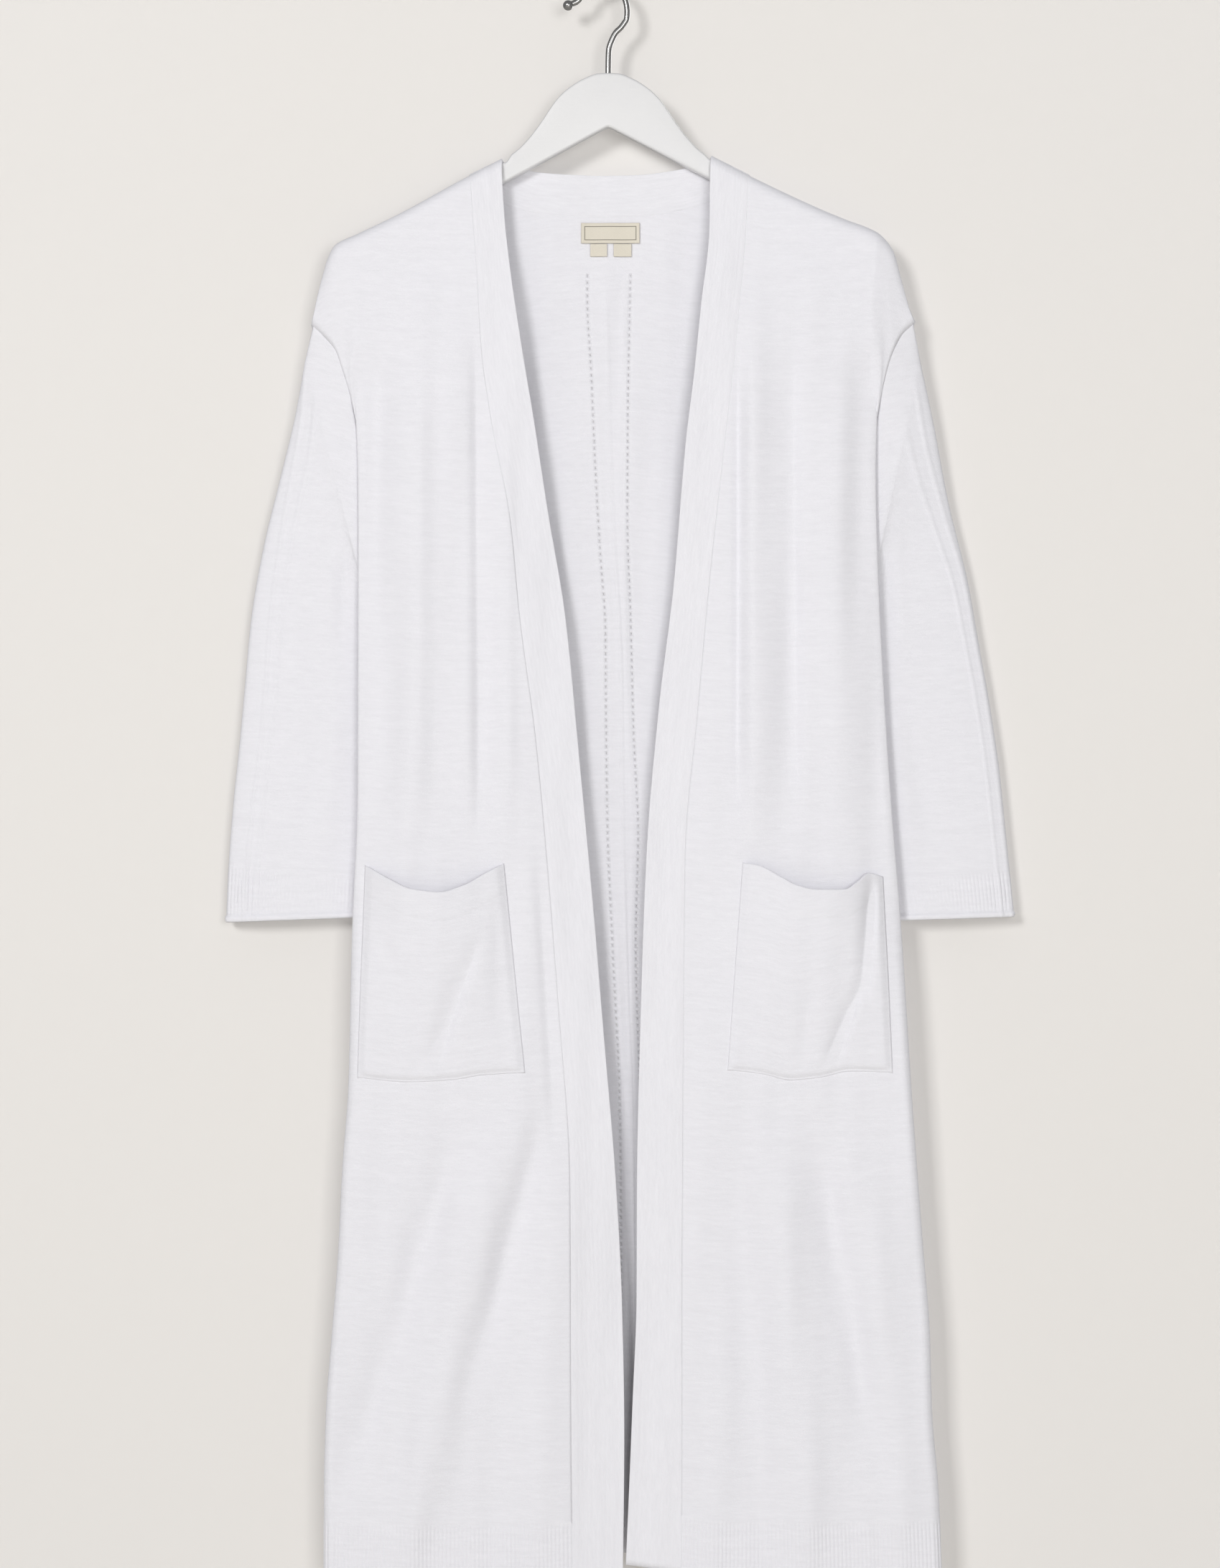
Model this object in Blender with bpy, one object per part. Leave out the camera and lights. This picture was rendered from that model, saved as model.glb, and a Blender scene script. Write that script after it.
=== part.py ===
"""A long knitted duster cardigan with an open front, hanging on a white wooden coat hanger.

All sizes are metres. The origin is the seat of the hanger's hook, +Z is up and the open front faces -Y.
Right and left are the wearer's, so the right front hangs at -X. A point's drop is its distance below the
hook's seat. Every cloth piece is a thin wall round a grid of points: rows run down the garment, columns run
across it. The grids of neighbouring pieces share their seam lines and end a hair's breadth apart.
"""

import bmesh
import bpy
import numpy as np

WALL = 0.0020            # a knitted panel
BAND_WALL = 0.0026       # the front band, knitted double
LABEL_WALL = 0.0010      # woven label and tabs
SEAM = 0.0003            # space kept between two pieces that are sewn together
BAND_SEAM = 0.0006       # the same at the band, which is thicker than what it is sewn to
LAP = 0.0026             # from the middle of one layer to the middle of the next where they lie on each other

HANGER_HALF = 0.0055     # half the thickness of the hanger's wood
HANGER_CORNER = 0.0052   # rounding of the wood's long edges
HANGER_MIDDLE = 0.0040   # the hanger's middle, a little left of the hook's seat
HANGER_REACH = 0.2145    # from its middle to the tip of each arm
HANGER_TIP = 0.0110      # length of the rounded tip
HUG = 0.0090             # how far the cloth's middle bends out round the wood
HOOK_RADIUS = 0.0023
BALL_RADIUS = 0.0041

CUFF_EDGE = 10           # last row of the sleeve tables
FOLD_TURN = 0.0060       # radius of the turn at the side of each front
SHOULDER_SEAM_STEEP = 0.0016   # half the space between front and back past the hanger's tip
STEEP_FROM = 0.203       # distance from the middle where that space starts to widen
STEEP_OVER = 0.020       # and the length over which it does
SIGN = {"right": -1.0, "left": 1.0}


def table(names, *rows):
    """A table's columns by name. The first column is the place that the others are read at."""
    return dict(zip(names.split(), np.array(rows, dtype=float).T))


def smooth(at, stations, values):
    """A cubic through the stations' values that never swings past them: the slope at each station is the
    harmonic mean of the slopes on its two sides, or level at a top or a bottom."""
    at = np.asarray(at, dtype=float)
    rise = np.diff(values) / np.diff(stations)
    climbs = rise[:-1] * rise[1:] > 0.0
    both = np.where(climbs, rise[:-1] + rise[1:], 1.0)
    inner = np.where(climbs, 2.0 * rise[:-1] * rise[1:] / both, 0.0)
    slopes = np.concatenate([rise[:1], inner, rise[-1:]])
    first = np.clip(np.searchsorted(stations, at) - 1, 0, len(stations) - 2)
    span = stations[first + 1] - stations[first]
    t = np.clip((at - stations[first]) / span, 0.0, 1.0)
    start = (2 * t**3 - 3 * t**2 + 1) * values[first] + (t**3 - 2 * t**2 + t) * span * slopes[first]
    end = (3 * t**2 - 2 * t**3) * values[first + 1] + (t**3 - t**2) * span * slopes[first + 1]
    return start + end


def read(rows, column, at):
    """A column of a table, read smoothly at a value of its first column."""
    return smooth(at, next(iter(rows.values())), rows[column])


def ease(share):
    """Zero below 0, one above 1, and a soft S between."""
    t = np.clip(share, 0.0, 1.0)
    return t * t * (3.0 - 2.0 * t)


# The shoulder line: the middle of the cloth where it lies on the hanger, from the neck out, and past the tip.
SHOULDER = {
    "right": table("x drop",
                   (-0.0800, 0.1400), (-0.1143, 0.1577), (-0.1600, 0.1828), (-0.1943, 0.1994),
                   (-0.2125, 0.2083), (-0.2185, 0.2190), (-0.2215, 0.2290), (-0.2262, 0.2470),
                   (-0.2316, 0.2710)),
    "left": table("x drop",
                  (0.0857, 0.1377), (0.1200, 0.1554), (0.1714, 0.1795), (0.1908, 0.1876),
                  (0.2180, 0.1988), (0.2302, 0.2130), (0.2353, 0.2308), (0.2430, 0.2588),
                  (0.2475, 0.2690)),
}
NECK_POINT = {"right": -0.1050, "left": 0.1149}    # where the band's seam crosses the shoulder line

# The front band: its free edge and the seam that joins it to the front.
BAND = {
    "right": table("drop edge seam",
                   (0.150, -0.0806, -0.1050), (0.187, -0.0783, -0.1030), (0.227, -0.0738, -0.1000),
                   (0.290, -0.0646, -0.0965), (0.350, -0.0545, -0.0880), (0.420, -0.0440, -0.0745),
                   (0.500, -0.0305, -0.0665), (0.600, -0.0205, -0.0535), (0.700, -0.0110, -0.0440),
                   (0.800, -0.0025, -0.0360), (0.950, 0.0098, -0.0262), (1.050, 0.0150, -0.0258),
                   (1.150, 0.0168, -0.0255), (1.266, 0.0155, -0.0240)),
    "left": table("drop edge seam",
                  (0.150, 0.0848, 0.1149), (0.195, 0.0843, 0.1130), (0.255, 0.0778, 0.1078),
                  (0.310, 0.0722, 0.1023), (0.365, 0.0656, 0.0960), (0.475, 0.0564, 0.0842),
                  (0.575, 0.0443, 0.0751), (0.690, 0.0345, 0.0648), (0.810, 0.0300, 0.0632),
                  (0.945, 0.0269, 0.0626), (1.040, 0.0265, 0.0620), (1.133, 0.0230, 0.0620),
                  (1.196, 0.0205, 0.0618), (1.264, 0.0175, 0.0614)),
}

# The band round the back of the neck, from the right shoulder to the left: free edge above, seam below.
NECK = table("row edge_x edge_drop seam_x seam_drop",
             (0, -0.0800, 0.1400, -0.1050, 0.1529), (1, -0.0770, 0.1428, -0.1010, 0.1600),
             (2, -0.0690, 0.1455, -0.0900, 0.1690), (3, -0.0460, 0.1490, -0.0580, 0.1808),
             (4, -0.0200, 0.1505, -0.0250, 0.1838), (5, 0.0040, 0.1510, 0.0040, 0.1845),
             (6, 0.0280, 0.1505, 0.0340, 0.1832), (7, 0.0500, 0.1480, 0.0640, 0.1785),
             (8, 0.0740, 0.1435, 0.0950, 0.1690), (9, 0.0830, 0.1402, 0.1090, 0.1600),
             (10, 0.0857, 0.1377, 0.1149, 0.1528))

# The fold at the side of each front, as a distance from the middle.
SIDE = {
    "right": table("drop fold",
                   (0.200, 0.2085), (0.249, 0.2013), (0.290, 0.1990), (0.334, 0.1958), (0.400, 0.1951),
                   (0.640, 0.1953), (0.748, 0.1996), (0.873, 0.2024), (0.935, 0.2070), (1.009, 0.2107),
                   (1.071, 0.2155), (1.133, 0.2201), (1.196, 0.2218), (1.266, 0.2218)),
    "left": table("drop fold",
                  (0.190, 0.2180), (0.235, 0.2200), (0.271, 0.2195), (0.312, 0.2175), (0.373, 0.2167),
                  (0.434, 0.2179), (0.512, 0.2210), (0.637, 0.2284), (0.742, 0.2366), (0.873, 0.2446),
                  (0.997, 0.2537), (1.071, 0.2594), (1.133, 0.2611), (1.196, 0.2662), (1.264, 0.2690)),
}

# The armhole seam: how far it lies past the side fold, and the depth of its front and back halves.
# Its last row is the underarm, and the side seam goes on from there.
ARMHOLE = {
    "right": table("drop past front back",
                   (0.2710, 0.0316, -0.0016, 0.0016), (0.280, 0.0230, -0.0027, 0.0030),
                   (0.292, 0.0135, -0.0035, 0.0050), (0.310, 0.0090, -0.0036, 0.0070),
                   (0.335, 0.0030, -0.0034, 0.0080), (0.375, -0.0050, -0.0031, 0.0085),
                   (0.430, -0.0110, -0.0030, 0.0078), (0.475, -0.0120, -0.0030, 0.0042),
                   (0.520, -0.0120, -0.0030, -0.0004), (1.270, -0.0120, -0.0030, -0.0004)),
    "left": table("drop past front back",
                  (0.2690, 0.0280, -0.0016, 0.0016), (0.280, 0.0175, -0.0027, 0.0030),
                  (0.295, 0.0110, -0.0035, 0.0050), (0.315, 0.0060, -0.0036, 0.0070),
                  (0.340, 0.0010, -0.0034, 0.0080), (0.375, -0.0055, -0.0031, 0.0085),
                  (0.430, -0.0110, -0.0030, 0.0078), (0.472, -0.0120, -0.0030, 0.0042),
                  (0.520, -0.0120, -0.0030, -0.0004), (1.270, -0.0120, -0.0030, -0.0004)),
}
UNDERARM_CLEAR = 0.0016  # the sleeve's turn under the arm stands this much further out
UNDERARM = {"right": 0.475, "left": 0.472}
HEM = {
    "right": table("x drop", (-0.230, 1.262), (-0.120, 1.266), (-0.030, 1.266), (0.020, 1.264)),
    "left": table("x drop", (0.015, 1.2550), (0.050, 1.2600), (0.120, 1.2640), (0.275, 1.2610)),
    "back": table("x drop", (-0.230, 1.262), (-0.080, 1.257), (0.020, 1.250), (0.090, 1.256), (0.275, 1.261)),
}

# The largest folds: a line from its top to its foot, its half width, and how far it stands out. A negative
# height is a hollow.
FOLDS = {
    "right": table("top_x top_drop low_x low_drop width height",
                   (-0.104, 0.255, -0.100, 0.690, 0.011, -0.0050),
                   (-0.141, 0.270, -0.146, 0.720, 0.017, 0.0060),
                   (-0.178, 0.250, -0.176, 0.690, 0.011, -0.0035),
                   (-0.100, 0.878, -0.215, 1.200, 0.017, -0.0060),
                   (-0.075, 0.876, -0.168, 1.300, 0.020, 0.0075),
                   (-0.045, 0.872, -0.105, 1.300, 0.016, -0.0055),
                   (-0.030, 0.920, -0.055, 1.300, 0.016, 0.0050)),
    "left": table("top_x top_drop low_x low_drop width height",
                  (0.107, 0.262, 0.104, 0.690, 0.009, -0.0040),
                  (0.122, 0.260, 0.124, 0.720, 0.014, 0.0060),
                  (0.147, 0.250, 0.151, 0.700, 0.011, -0.0045),
                  (0.185, 0.270, 0.190, 0.690, 0.017, 0.0040),
                  (0.105, 0.878, 0.122, 1.300, 0.016, -0.0055),
                  (0.130, 0.876, 0.170, 1.300, 0.020, 0.0075),
                  (0.156, 0.878, 0.226, 1.200, 0.014, -0.0060),
                  (0.200, 0.900, 0.246, 1.300, 0.018, 0.0050)),
    "back": table("top_x top_drop low_x low_drop width height",
                  (0.009, 0.230, 0.024, 1.300, 0.007, -0.0022),
                  (-0.075, 0.260, -0.060, 1.300, 0.022, 0.0060),
                  (-0.135, 0.500, -0.165, 1.300, 0.020, 0.0055),
                  (0.095, 0.240, 0.105, 1.300, 0.024, 0.0060),
                  (0.160, 0.520, 0.200, 1.300, 0.022, 0.0050)),
}
FOLD_FADE = 0.110        # length over which a fold grows from nothing at its top
FOLD_START = 0.030       # cloth this close to the shoulder lies smooth on the wood
FOLD_SETTLED = 0.050     # and over this much further down the folds grow
HANG_OVER = 0.100        # length over which the cloth moves out below the wood
FRONT_HANG = 0.0035      # how far a front does so, and again from the chest to the hips
HIP_FROM = 0.450
HIP_OVER = 0.400
BACK_HANG = 0.0020       # how far the back does so
SIDE_RETURN = 0.034      # width over which the back comes forward to its side seam
RETURN_FROM = 0.262      # drop where it starts to, just under the hanger's tips
RETURN_OVER = 0.020

# The sleeves from just past the armhole to the cuff: outer and inner edge, depth of the middle, half depth.
SLEEVE = {
    "right": table("row outer outer_drop inner inner_drop middle half",
                   (1, 0.2370, 0.300, 0.1885, 0.4880, 0.0062, 0.0065),
                   (2, 0.2445, 0.340, 0.1820, 0.503, 0.0105, 0.0080),
                   (3, 0.2580, 0.395, 0.1750, 0.521, 0.0145, 0.0090),
                   (4, 0.2712, 0.449, 0.1690, 0.544, 0.0160, 0.0095),
                   (5, 0.2809, 0.5055, 0.1645, 0.569, 0.0165, 0.0095),
                   (6, 0.2855, 0.555, 0.1640, 0.602, 0.0165, 0.0095),
                   (7, 0.2901, 0.605, 0.1670, 0.639, 0.0165, 0.0090),
                   (8, 0.2947, 0.649, 0.1740, 0.674, 0.0160, 0.0090),
                   (9, 0.2985, 0.699, 0.1800, 0.708, 0.0155, 0.0085),
                   (10, 0.3005, 0.7465, 0.1870, 0.7420, 0.0150, 0.0085)),
    "left": table("row outer outer_drop inner inner_drop middle half",
                  (1, 0.2520, 0.300, 0.2125, 0.4850, 0.0062, 0.0065),
                  (2, 0.2629, 0.349, 0.2060, 0.500, 0.0105, 0.0080),
                  (3, 0.2752, 0.412, 0.1985, 0.518, 0.0145, 0.0090),
                  (4, 0.2905, 0.474, 0.1910, 0.543, 0.0160, 0.0095),
                  (5, 0.2995, 0.524, 0.1855, 0.567, 0.0165, 0.0095),
                  (6, 0.3084, 0.574, 0.1855, 0.601, 0.0165, 0.0095),
                  (7, 0.3158, 0.624, 0.1895, 0.640, 0.0165, 0.0090),
                  (8, 0.3204, 0.668, 0.1970, 0.678, 0.0160, 0.0090),
                  (9, 0.3240, 0.705, 0.2055, 0.710, 0.0155, 0.0085),
                  (10, 0.3275, 0.7420, 0.2140, 0.7455, 0.0150, 0.0085)),
}
SLEEVE_RIDGE = 0.0025    # the ridge knitted down the outside of each sleeve
SLEEVE_RIDGE_AT = 0.55   # its place round the sleeve, in radians from the outer edge
SLEEVE_RIDGE_HALF = 0.30 # half its width, in radians
SLEEVE_RIDGE_OVER = 1.5  # rows of the table over which it grows
SLEEVE_FLATNESS = 0.7    # power of the sine that gives the ovals' depth
LAP_FROM = 0.292         # drop where the front starts to lap over the sleeve
LAP_OVER = 0.030

# The patch pockets: corners of the bag, the sag of the mouth's edge, and how far the mouth stands open.
POCKET = {
    "right": table("drop inner outer", (0.700, -0.0789, -0.1885), (0.866, -0.0620, -0.1945)),
    "left": table("drop inner outer", (0.700, 0.1107, 0.2215), (0.866, 0.0985, 0.2290)),
}
POCKET_SAG = 0.0210
POCKET_BOTTOM_SAG = 0.0060
POCKET_OPEN = 0.0115
POCKET_FULL = 0.0030
POCKET_CLEAR = 0.0028    # from the middle of the front's wall out to the pocket's, at its sewn edges
MOUTH_FADE = 1.6         # power of the depth below the mouth at which its opening closes
POCKET_COLUMNS = 11
POCKET_ROWS = 7

LABEL = table("drop left right", (0.1888, -0.0176, 0.0290), (0.2050, -0.0176, 0.0290))
TABS = {
    "tab_right": table("drop left right", (0.2055, -0.0103, 0.0030), (0.2155, -0.0103, 0.0030)),
    "tab_left": table("drop left right", (0.2055, 0.0083, 0.0225), (0.2155, 0.0083, 0.0225)),
}

# The hanger's top from its middle out to where the cloth covers it, and the slope of each arm's underside.
HANGER_TOP = table("reach drop",
                   (0.0000, 0.0712), (0.0080, 0.0716), (0.0194, 0.0757), (0.0306, 0.0825), (0.0400, 0.0910),
                   (0.0547, 0.1121), (0.0627, 0.1225), (0.0707, 0.1310), (0.0803, 0.1385))
HANGER_NOTCH = 0.1137
HANGER_UNDER = {"right": 0.543, "left": 0.519}
HANGER_BELOW = 0.0025    # from the middle of the cloth down to the top of the wood
HANGER_TIP_THIN = 0.35   # share of its thickness that the wood keeps at its tips
CORNER_MOST = 0.92       # largest rounding of an edge, as a share of the half thickness or height
HANGER_STEPS = (0.0, 0.008, 0.018, 0.029, 0.038, 0.046, 0.054, 0.062, 0.071, 0.082, 0.116, 0.160, 0.190,
                0.2035, 0.2095, 0.2130, 0.2143)

# The hook's wire from the wood up to the crook, and from the crook's top to the ball at its end.
SHANK = ((0.0040, 0.0709), (0.0041, 0.0600), (0.0045, 0.0520), (0.0062, 0.0460), (0.0097, 0.0389),
         (0.0140, 0.0345), (0.0168, 0.0308))
CROOK_MIDDLE = 0.0222
CROOK_ACROSS = 0.0191
CROOK_HIGH = 0.0245
CROOK_SWEEP = np.radians((-12, 4, 20, 36, 52, 68, 84, 100, 116, 132))
HOOK_END = ((-0.0160, 0.0065), (-0.0182, 0.0110), (-0.0212, 0.0140), (-0.0242, 0.0153))
BALL_MIDDLE = (-0.0279, 0.0168)
BALL_STEPS = (-0.70, -0.35, 0.0, 0.40, 0.75, 0.95)
HOOK_SIDES = 8

# Rows down the garment, as distances below the shoulder on a full length of GARMENT_LENGTH.
GARMENT_LENGTH = 1.110
ROWS = np.concatenate([(0.0, 0.0006, 0.0020, 0.0042, 0.0080, 0.0140, 0.026, 0.045, 0.070, 0.100, 0.135,
                        0.170, 0.205, 0.245), np.linspace(0.295, GARMENT_LENGTH, 15)]) / GARMENT_LENGTH
SHOULDER_END = 4         # the shoulder line's row over the tip of the hanger
FRONT_STEP = 0.013       # widest column of a front at its shoulder
BACK_STEP = 0.024        # and of the back
TURN_SETTLED = 0.05      # share of the length over which the side fold leaves the shoulder line
TURN_HIGH = 0.25         # share of the drop to the side seam at which the side fold's outer line lies
COLUMNS_SETTLED = 0.25   # share of the length over which the columns reach an even spacing
NECK_ROWS = np.array((0.16, 0.45, 1.1, 2.0, 3.0, 4.0, 5.0, 6.0, 7.0, 8.0, 8.9, 9.55, 9.84))
BAND_COLUMNS = 3
CORNER_ROOM = 2.0        # how much wider the band's seam is where it turns round the neck
CORNER_DOWN = 0.004      # and how far that reaches down the fronts
CORNER_ROWS = 0.8        # and along the neck, in rows of its table
PATCH_ROWS = 4
SLEEVE_ROUND = 18
SLEEVE_ROWS = np.array((0.0, 0.45, 1.0, 1.6, 2.3, 3.0, 4.0, 5.0, 6.0, 7.0, 8.0, 9.0, CUFF_EDGE))

CLOTH_COLOUR = (0.83, 0.84, 0.85)
LABEL_COLOUR = (0.80, 0.76, 0.66)
WOOD_COLOUR = (0.78, 0.78, 0.77)
WIRE_COLOUR = (0.62, 0.62, 0.63)


def shoulder_row(side, widest):
    """The shoulder line that front and back are sewn on, from the band's seam out, in steps no wider than
    asked. Its corners are kept, so that rows of unlike steps meet all along the seam. The third result is the
    place of the point over the hanger's tip."""
    line = SHOULDER[side]
    reach = np.abs(line["x"])
    start = abs(NECK_POINT[side])
    corners = [(start, np.interp(start, reach, line["drop"]))]
    corners += [corner for corner in zip(reach, line["drop"]) if corner[0] > start]
    row = [corners[0]]
    over_tip = 0
    for (r0, d0), (r1, d1) in zip(corners[:-1], corners[1:]):
        flat = r1 <= reach[SHOULDER_END]
        parts = int(np.ceil(np.hypot(r1 - r0, d1 - d0) / widest)) if flat else 1
        row += [(r0 + (r1 - r0) * k / parts, d0 + (d1 - d0) * k / parts) for k in range(1, parts + 1)]
        over_tip = len(row) - 1 if flat else over_tip
    reach, drop = np.array(row).T
    return SIGN[side] * reach, drop, over_tip


def from_shoulder(x, drop, side):
    """How far a point lies from the shoulder line: the least distance to any of its straight stretches."""
    line = SHOULDER[side]
    nearest = np.full(np.broadcast_shapes(np.shape(x), np.shape(drop)), 10.0)
    for x0, d0, x1, d1 in zip(line["x"][:-1], line["drop"][:-1], line["x"][1:], line["drop"][1:]):
        run, fall = x1 - x0, d1 - d0
        t = np.clip(((x - x0) * run + (drop - d0) * fall) / (run * run + fall * fall), 0.0, 1.0)
        nearest = np.minimum(nearest, np.hypot(x - x0 - t * run, drop - d0 - t * fall))
    return nearest


def folds(x, drop, which):
    """How far the folds stand out: each is a soft bell across its line and grows from its top."""
    total = np.zeros(np.broadcast_shapes(np.shape(x), np.shape(drop)))
    for top_x, top, low_x, low, width, height in zip(*FOLDS[which].values()):
        middle = top_x + (low_x - top_x) * (drop - top) / (low - top)
        grown = ease((drop - top) / FOLD_FADE) * ease((low - drop) / FOLD_FADE)
        total += height * grown * np.exp(-((x - middle) / width) ** 2)
    return total


def hug(distance):
    """The cloth's bend over the wood: a quarter circle from the shoulder line, then straight down."""
    turn = 1.0 - np.clip(distance / HUG, 0.0, 1.0)
    return HUG * np.sqrt(1.0 - turn * turn)


def seam_space(x):
    """Half the space between front and back at the shoulder seam, wider past the hanger's tip."""
    return SEAM / 2 + (SHOULDER_SEAM_STEEP - SEAM / 2) * ease((np.abs(x) - STEEP_FROM) / STEEP_OVER)


def front_depth(x, drop, side):
    """Depth of a front: round the wood, a little further out below it, then the folds."""
    distance = from_shoulder(x, drop, side)
    hang = FRONT_HANG * (ease((distance - FOLD_START) / HANG_OVER) + ease((drop - HIP_FROM) / HIP_OVER))
    settled = ease((distance - FOLD_START) / FOLD_SETTLED)
    return -np.maximum(hug(distance), seam_space(x)) - hang - folds(x, drop, side) * settled


def back_depth(x, drop):
    """Depth of the back: round the wood, the folds, and forward again to the side seam."""
    x = np.asarray(x, dtype=float)
    drop = np.asarray(drop, dtype=float)
    distance = np.minimum(from_shoulder(x, drop, "right"), from_shoulder(x, drop, "left"))
    depth = np.maximum(hug(distance), seam_space(x)) + BACK_HANG * ease((distance - FOLD_START) / HANG_OVER)
    depth = depth + folds(x, drop, "back") * ease((distance - FOLD_START) / FOLD_SETTLED)
    for side in SIGN:
        past = SIGN[side] * x - edge_reach(side, drop) + SIDE_RETURN
        edge = read(ARMHOLE[side], "back", drop)
        depth = depth + (edge - depth) * ease(past / SIDE_RETURN) * ease((drop - RETURN_FROM) / RETURN_OVER)
    return depth


def edge_reach(side, drop):
    """Distance from the middle to the armhole seam and, below it, to the side seam."""
    return read(SIDE[side], "fold", drop) + read(ARMHOLE[side], "past", drop)


def hem_at(side, place):
    """Drop of a front's hem under the band's seam, the band's free edge or the side fold."""
    reach = {"seam": BAND[side]["seam"][-1], "edge": BAND[side]["edge"][-1],
             "fold": SIGN[side] * (SIDE[side]["fold"][-1] - FOLD_TURN)}[place]
    return np.interp(reach, HEM[side]["x"], HEM[side]["drop"])


def spread(top_x, top_drop, left, right, hem):
    """Rows of a panel between its two side edges. Each column starts on the top row and falls to the hem.
    Its share of the width eases from its share of the top row to an even one."""
    even = np.linspace(0.0, 1.0, len(top_x))
    share_top = (top_x - top_x[0]) / (top_x[-1] - top_x[0])
    settle = ease(ROWS / COLUMNS_SETTLED)[:, None]
    share = share_top * (1.0 - settle) + even * settle
    x = left[:, None] + share * (right - left)[:, None]
    hem_x = left[-1] + even * (right[-1] - left[-1])
    drop = top_drop + ROWS[:, None] * (np.interp(hem_x, hem["x"], hem["drop"]) - top_drop)
    return x, drop


def points(x, y, drop):
    """A grid of points from its x, y and drop."""
    return np.stack(np.broadcast_arrays(x, y, -np.asarray(drop)), axis=-1)


def grid_normals(grid, closed):
    """Unit normals of a grid: at each point the sum of its cells' normals, the cross products of their
    diagonals."""
    wide = np.concatenate([grid, grid[:, :1]], axis=1) if closed else grid
    cell = np.cross(wide[1:, 1:] - wide[:-1, :-1], wide[1:, :-1] - wide[:-1, 1:])
    cell /= np.linalg.norm(cell, axis=2, keepdims=True)
    ends = "wrap" if closed else "edge"
    cell = np.pad(cell, ((1, 1), (0, 0), (0, 0)), mode="edge")
    cell = np.pad(cell, ((0, 0), (1, 0 if closed else 1), (0, 0)), mode=ends)
    normal = cell[:-1, :-1] + cell[:-1, 1:] + cell[1:, :-1] + cell[1:, 1:]
    return normal / np.linalg.norm(normal, axis=2, keepdims=True)


def finish(name, vertices, faces, colour, roughness=0.85, metallic=0.0):
    """Make a closed mesh into a named object with its own material, its faces pointing out."""
    mesh = bpy.data.meshes.new(name)
    mesh.from_pydata([tuple(v) for v in vertices], [], faces)
    shape = bmesh.new()
    shape.from_mesh(mesh)
    bmesh.ops.recalc_face_normals(shape, faces=shape.faces)
    bmesh.ops.triangulate(shape, faces=shape.faces)
    shape.to_mesh(mesh)
    shape.free()
    mesh.shade_smooth()
    material = bpy.data.materials.new(name)
    material.use_nodes = True
    shader = material.node_tree.nodes["Principled BSDF"]
    shader.inputs["Base Color"].default_value = (*colour, 1.0)
    shader.inputs["Roughness"].default_value = roughness
    shader.inputs["Metallic"].default_value = metallic
    mesh.materials.append(material)
    bpy.context.scene.collection.objects.link(bpy.data.objects.new(name, mesh))


def cloth(name, grid, wall=WALL, closed=False, colour=CLOTH_COLOUR):
    """Give a grid its wall, half to each side, and close the rims. A closed grid is a tube, open at both
    ends."""
    rows, columns = grid.shape[:2]
    half = grid_normals(grid, closed) * wall / 2
    vertices = np.concatenate([(grid + half).reshape(-1, 3), (grid - half).reshape(-1, 3)])
    other = rows * columns
    faces = []
    last = columns if closed else columns - 1
    for r in range(rows - 1):
        for c in range(last):
            a, b = r * columns + c, r * columns + (c + 1) % columns
            faces.append((a, b, b + columns, a + columns))
            faces.append((a + other, a + columns + other, b + columns + other, b + other))
    for c in range(last):
        a, b = c, (c + 1) % columns
        faces.append((a, a + other, b + other, b))
        a, b = a + (rows - 1) * columns, b + (rows - 1) * columns
        faces.append((a, b, b + other, a + other))
    if not closed:
        for r in range(rows - 1):
            a, b = r * columns, (r + 1) * columns
            faces.append((a, b, b + other, a + other))
            a, b = a + columns - 1, b + columns - 1
            faces.append((a, a + other, b + other, b))
    finish(name, vertices, faces, colour)


def rod(name, rings, colour, roughness, metallic=0.0):
    """A solid through rings of points, closed with a flat face at each end."""
    count, sides = rings.shape[:2]
    faces = [tuple(range(sides)), tuple(range((count - 1) * sides, count * sides))]
    for r in range(count - 1):
        for s in range(sides):
            a, b = r * sides + s, r * sides + (s + 1) % sides
            faces.append((a, b, b + sides, a + sides))
    finish(name, rings.reshape(-1, 3), faces, colour, roughness, metallic)


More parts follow.
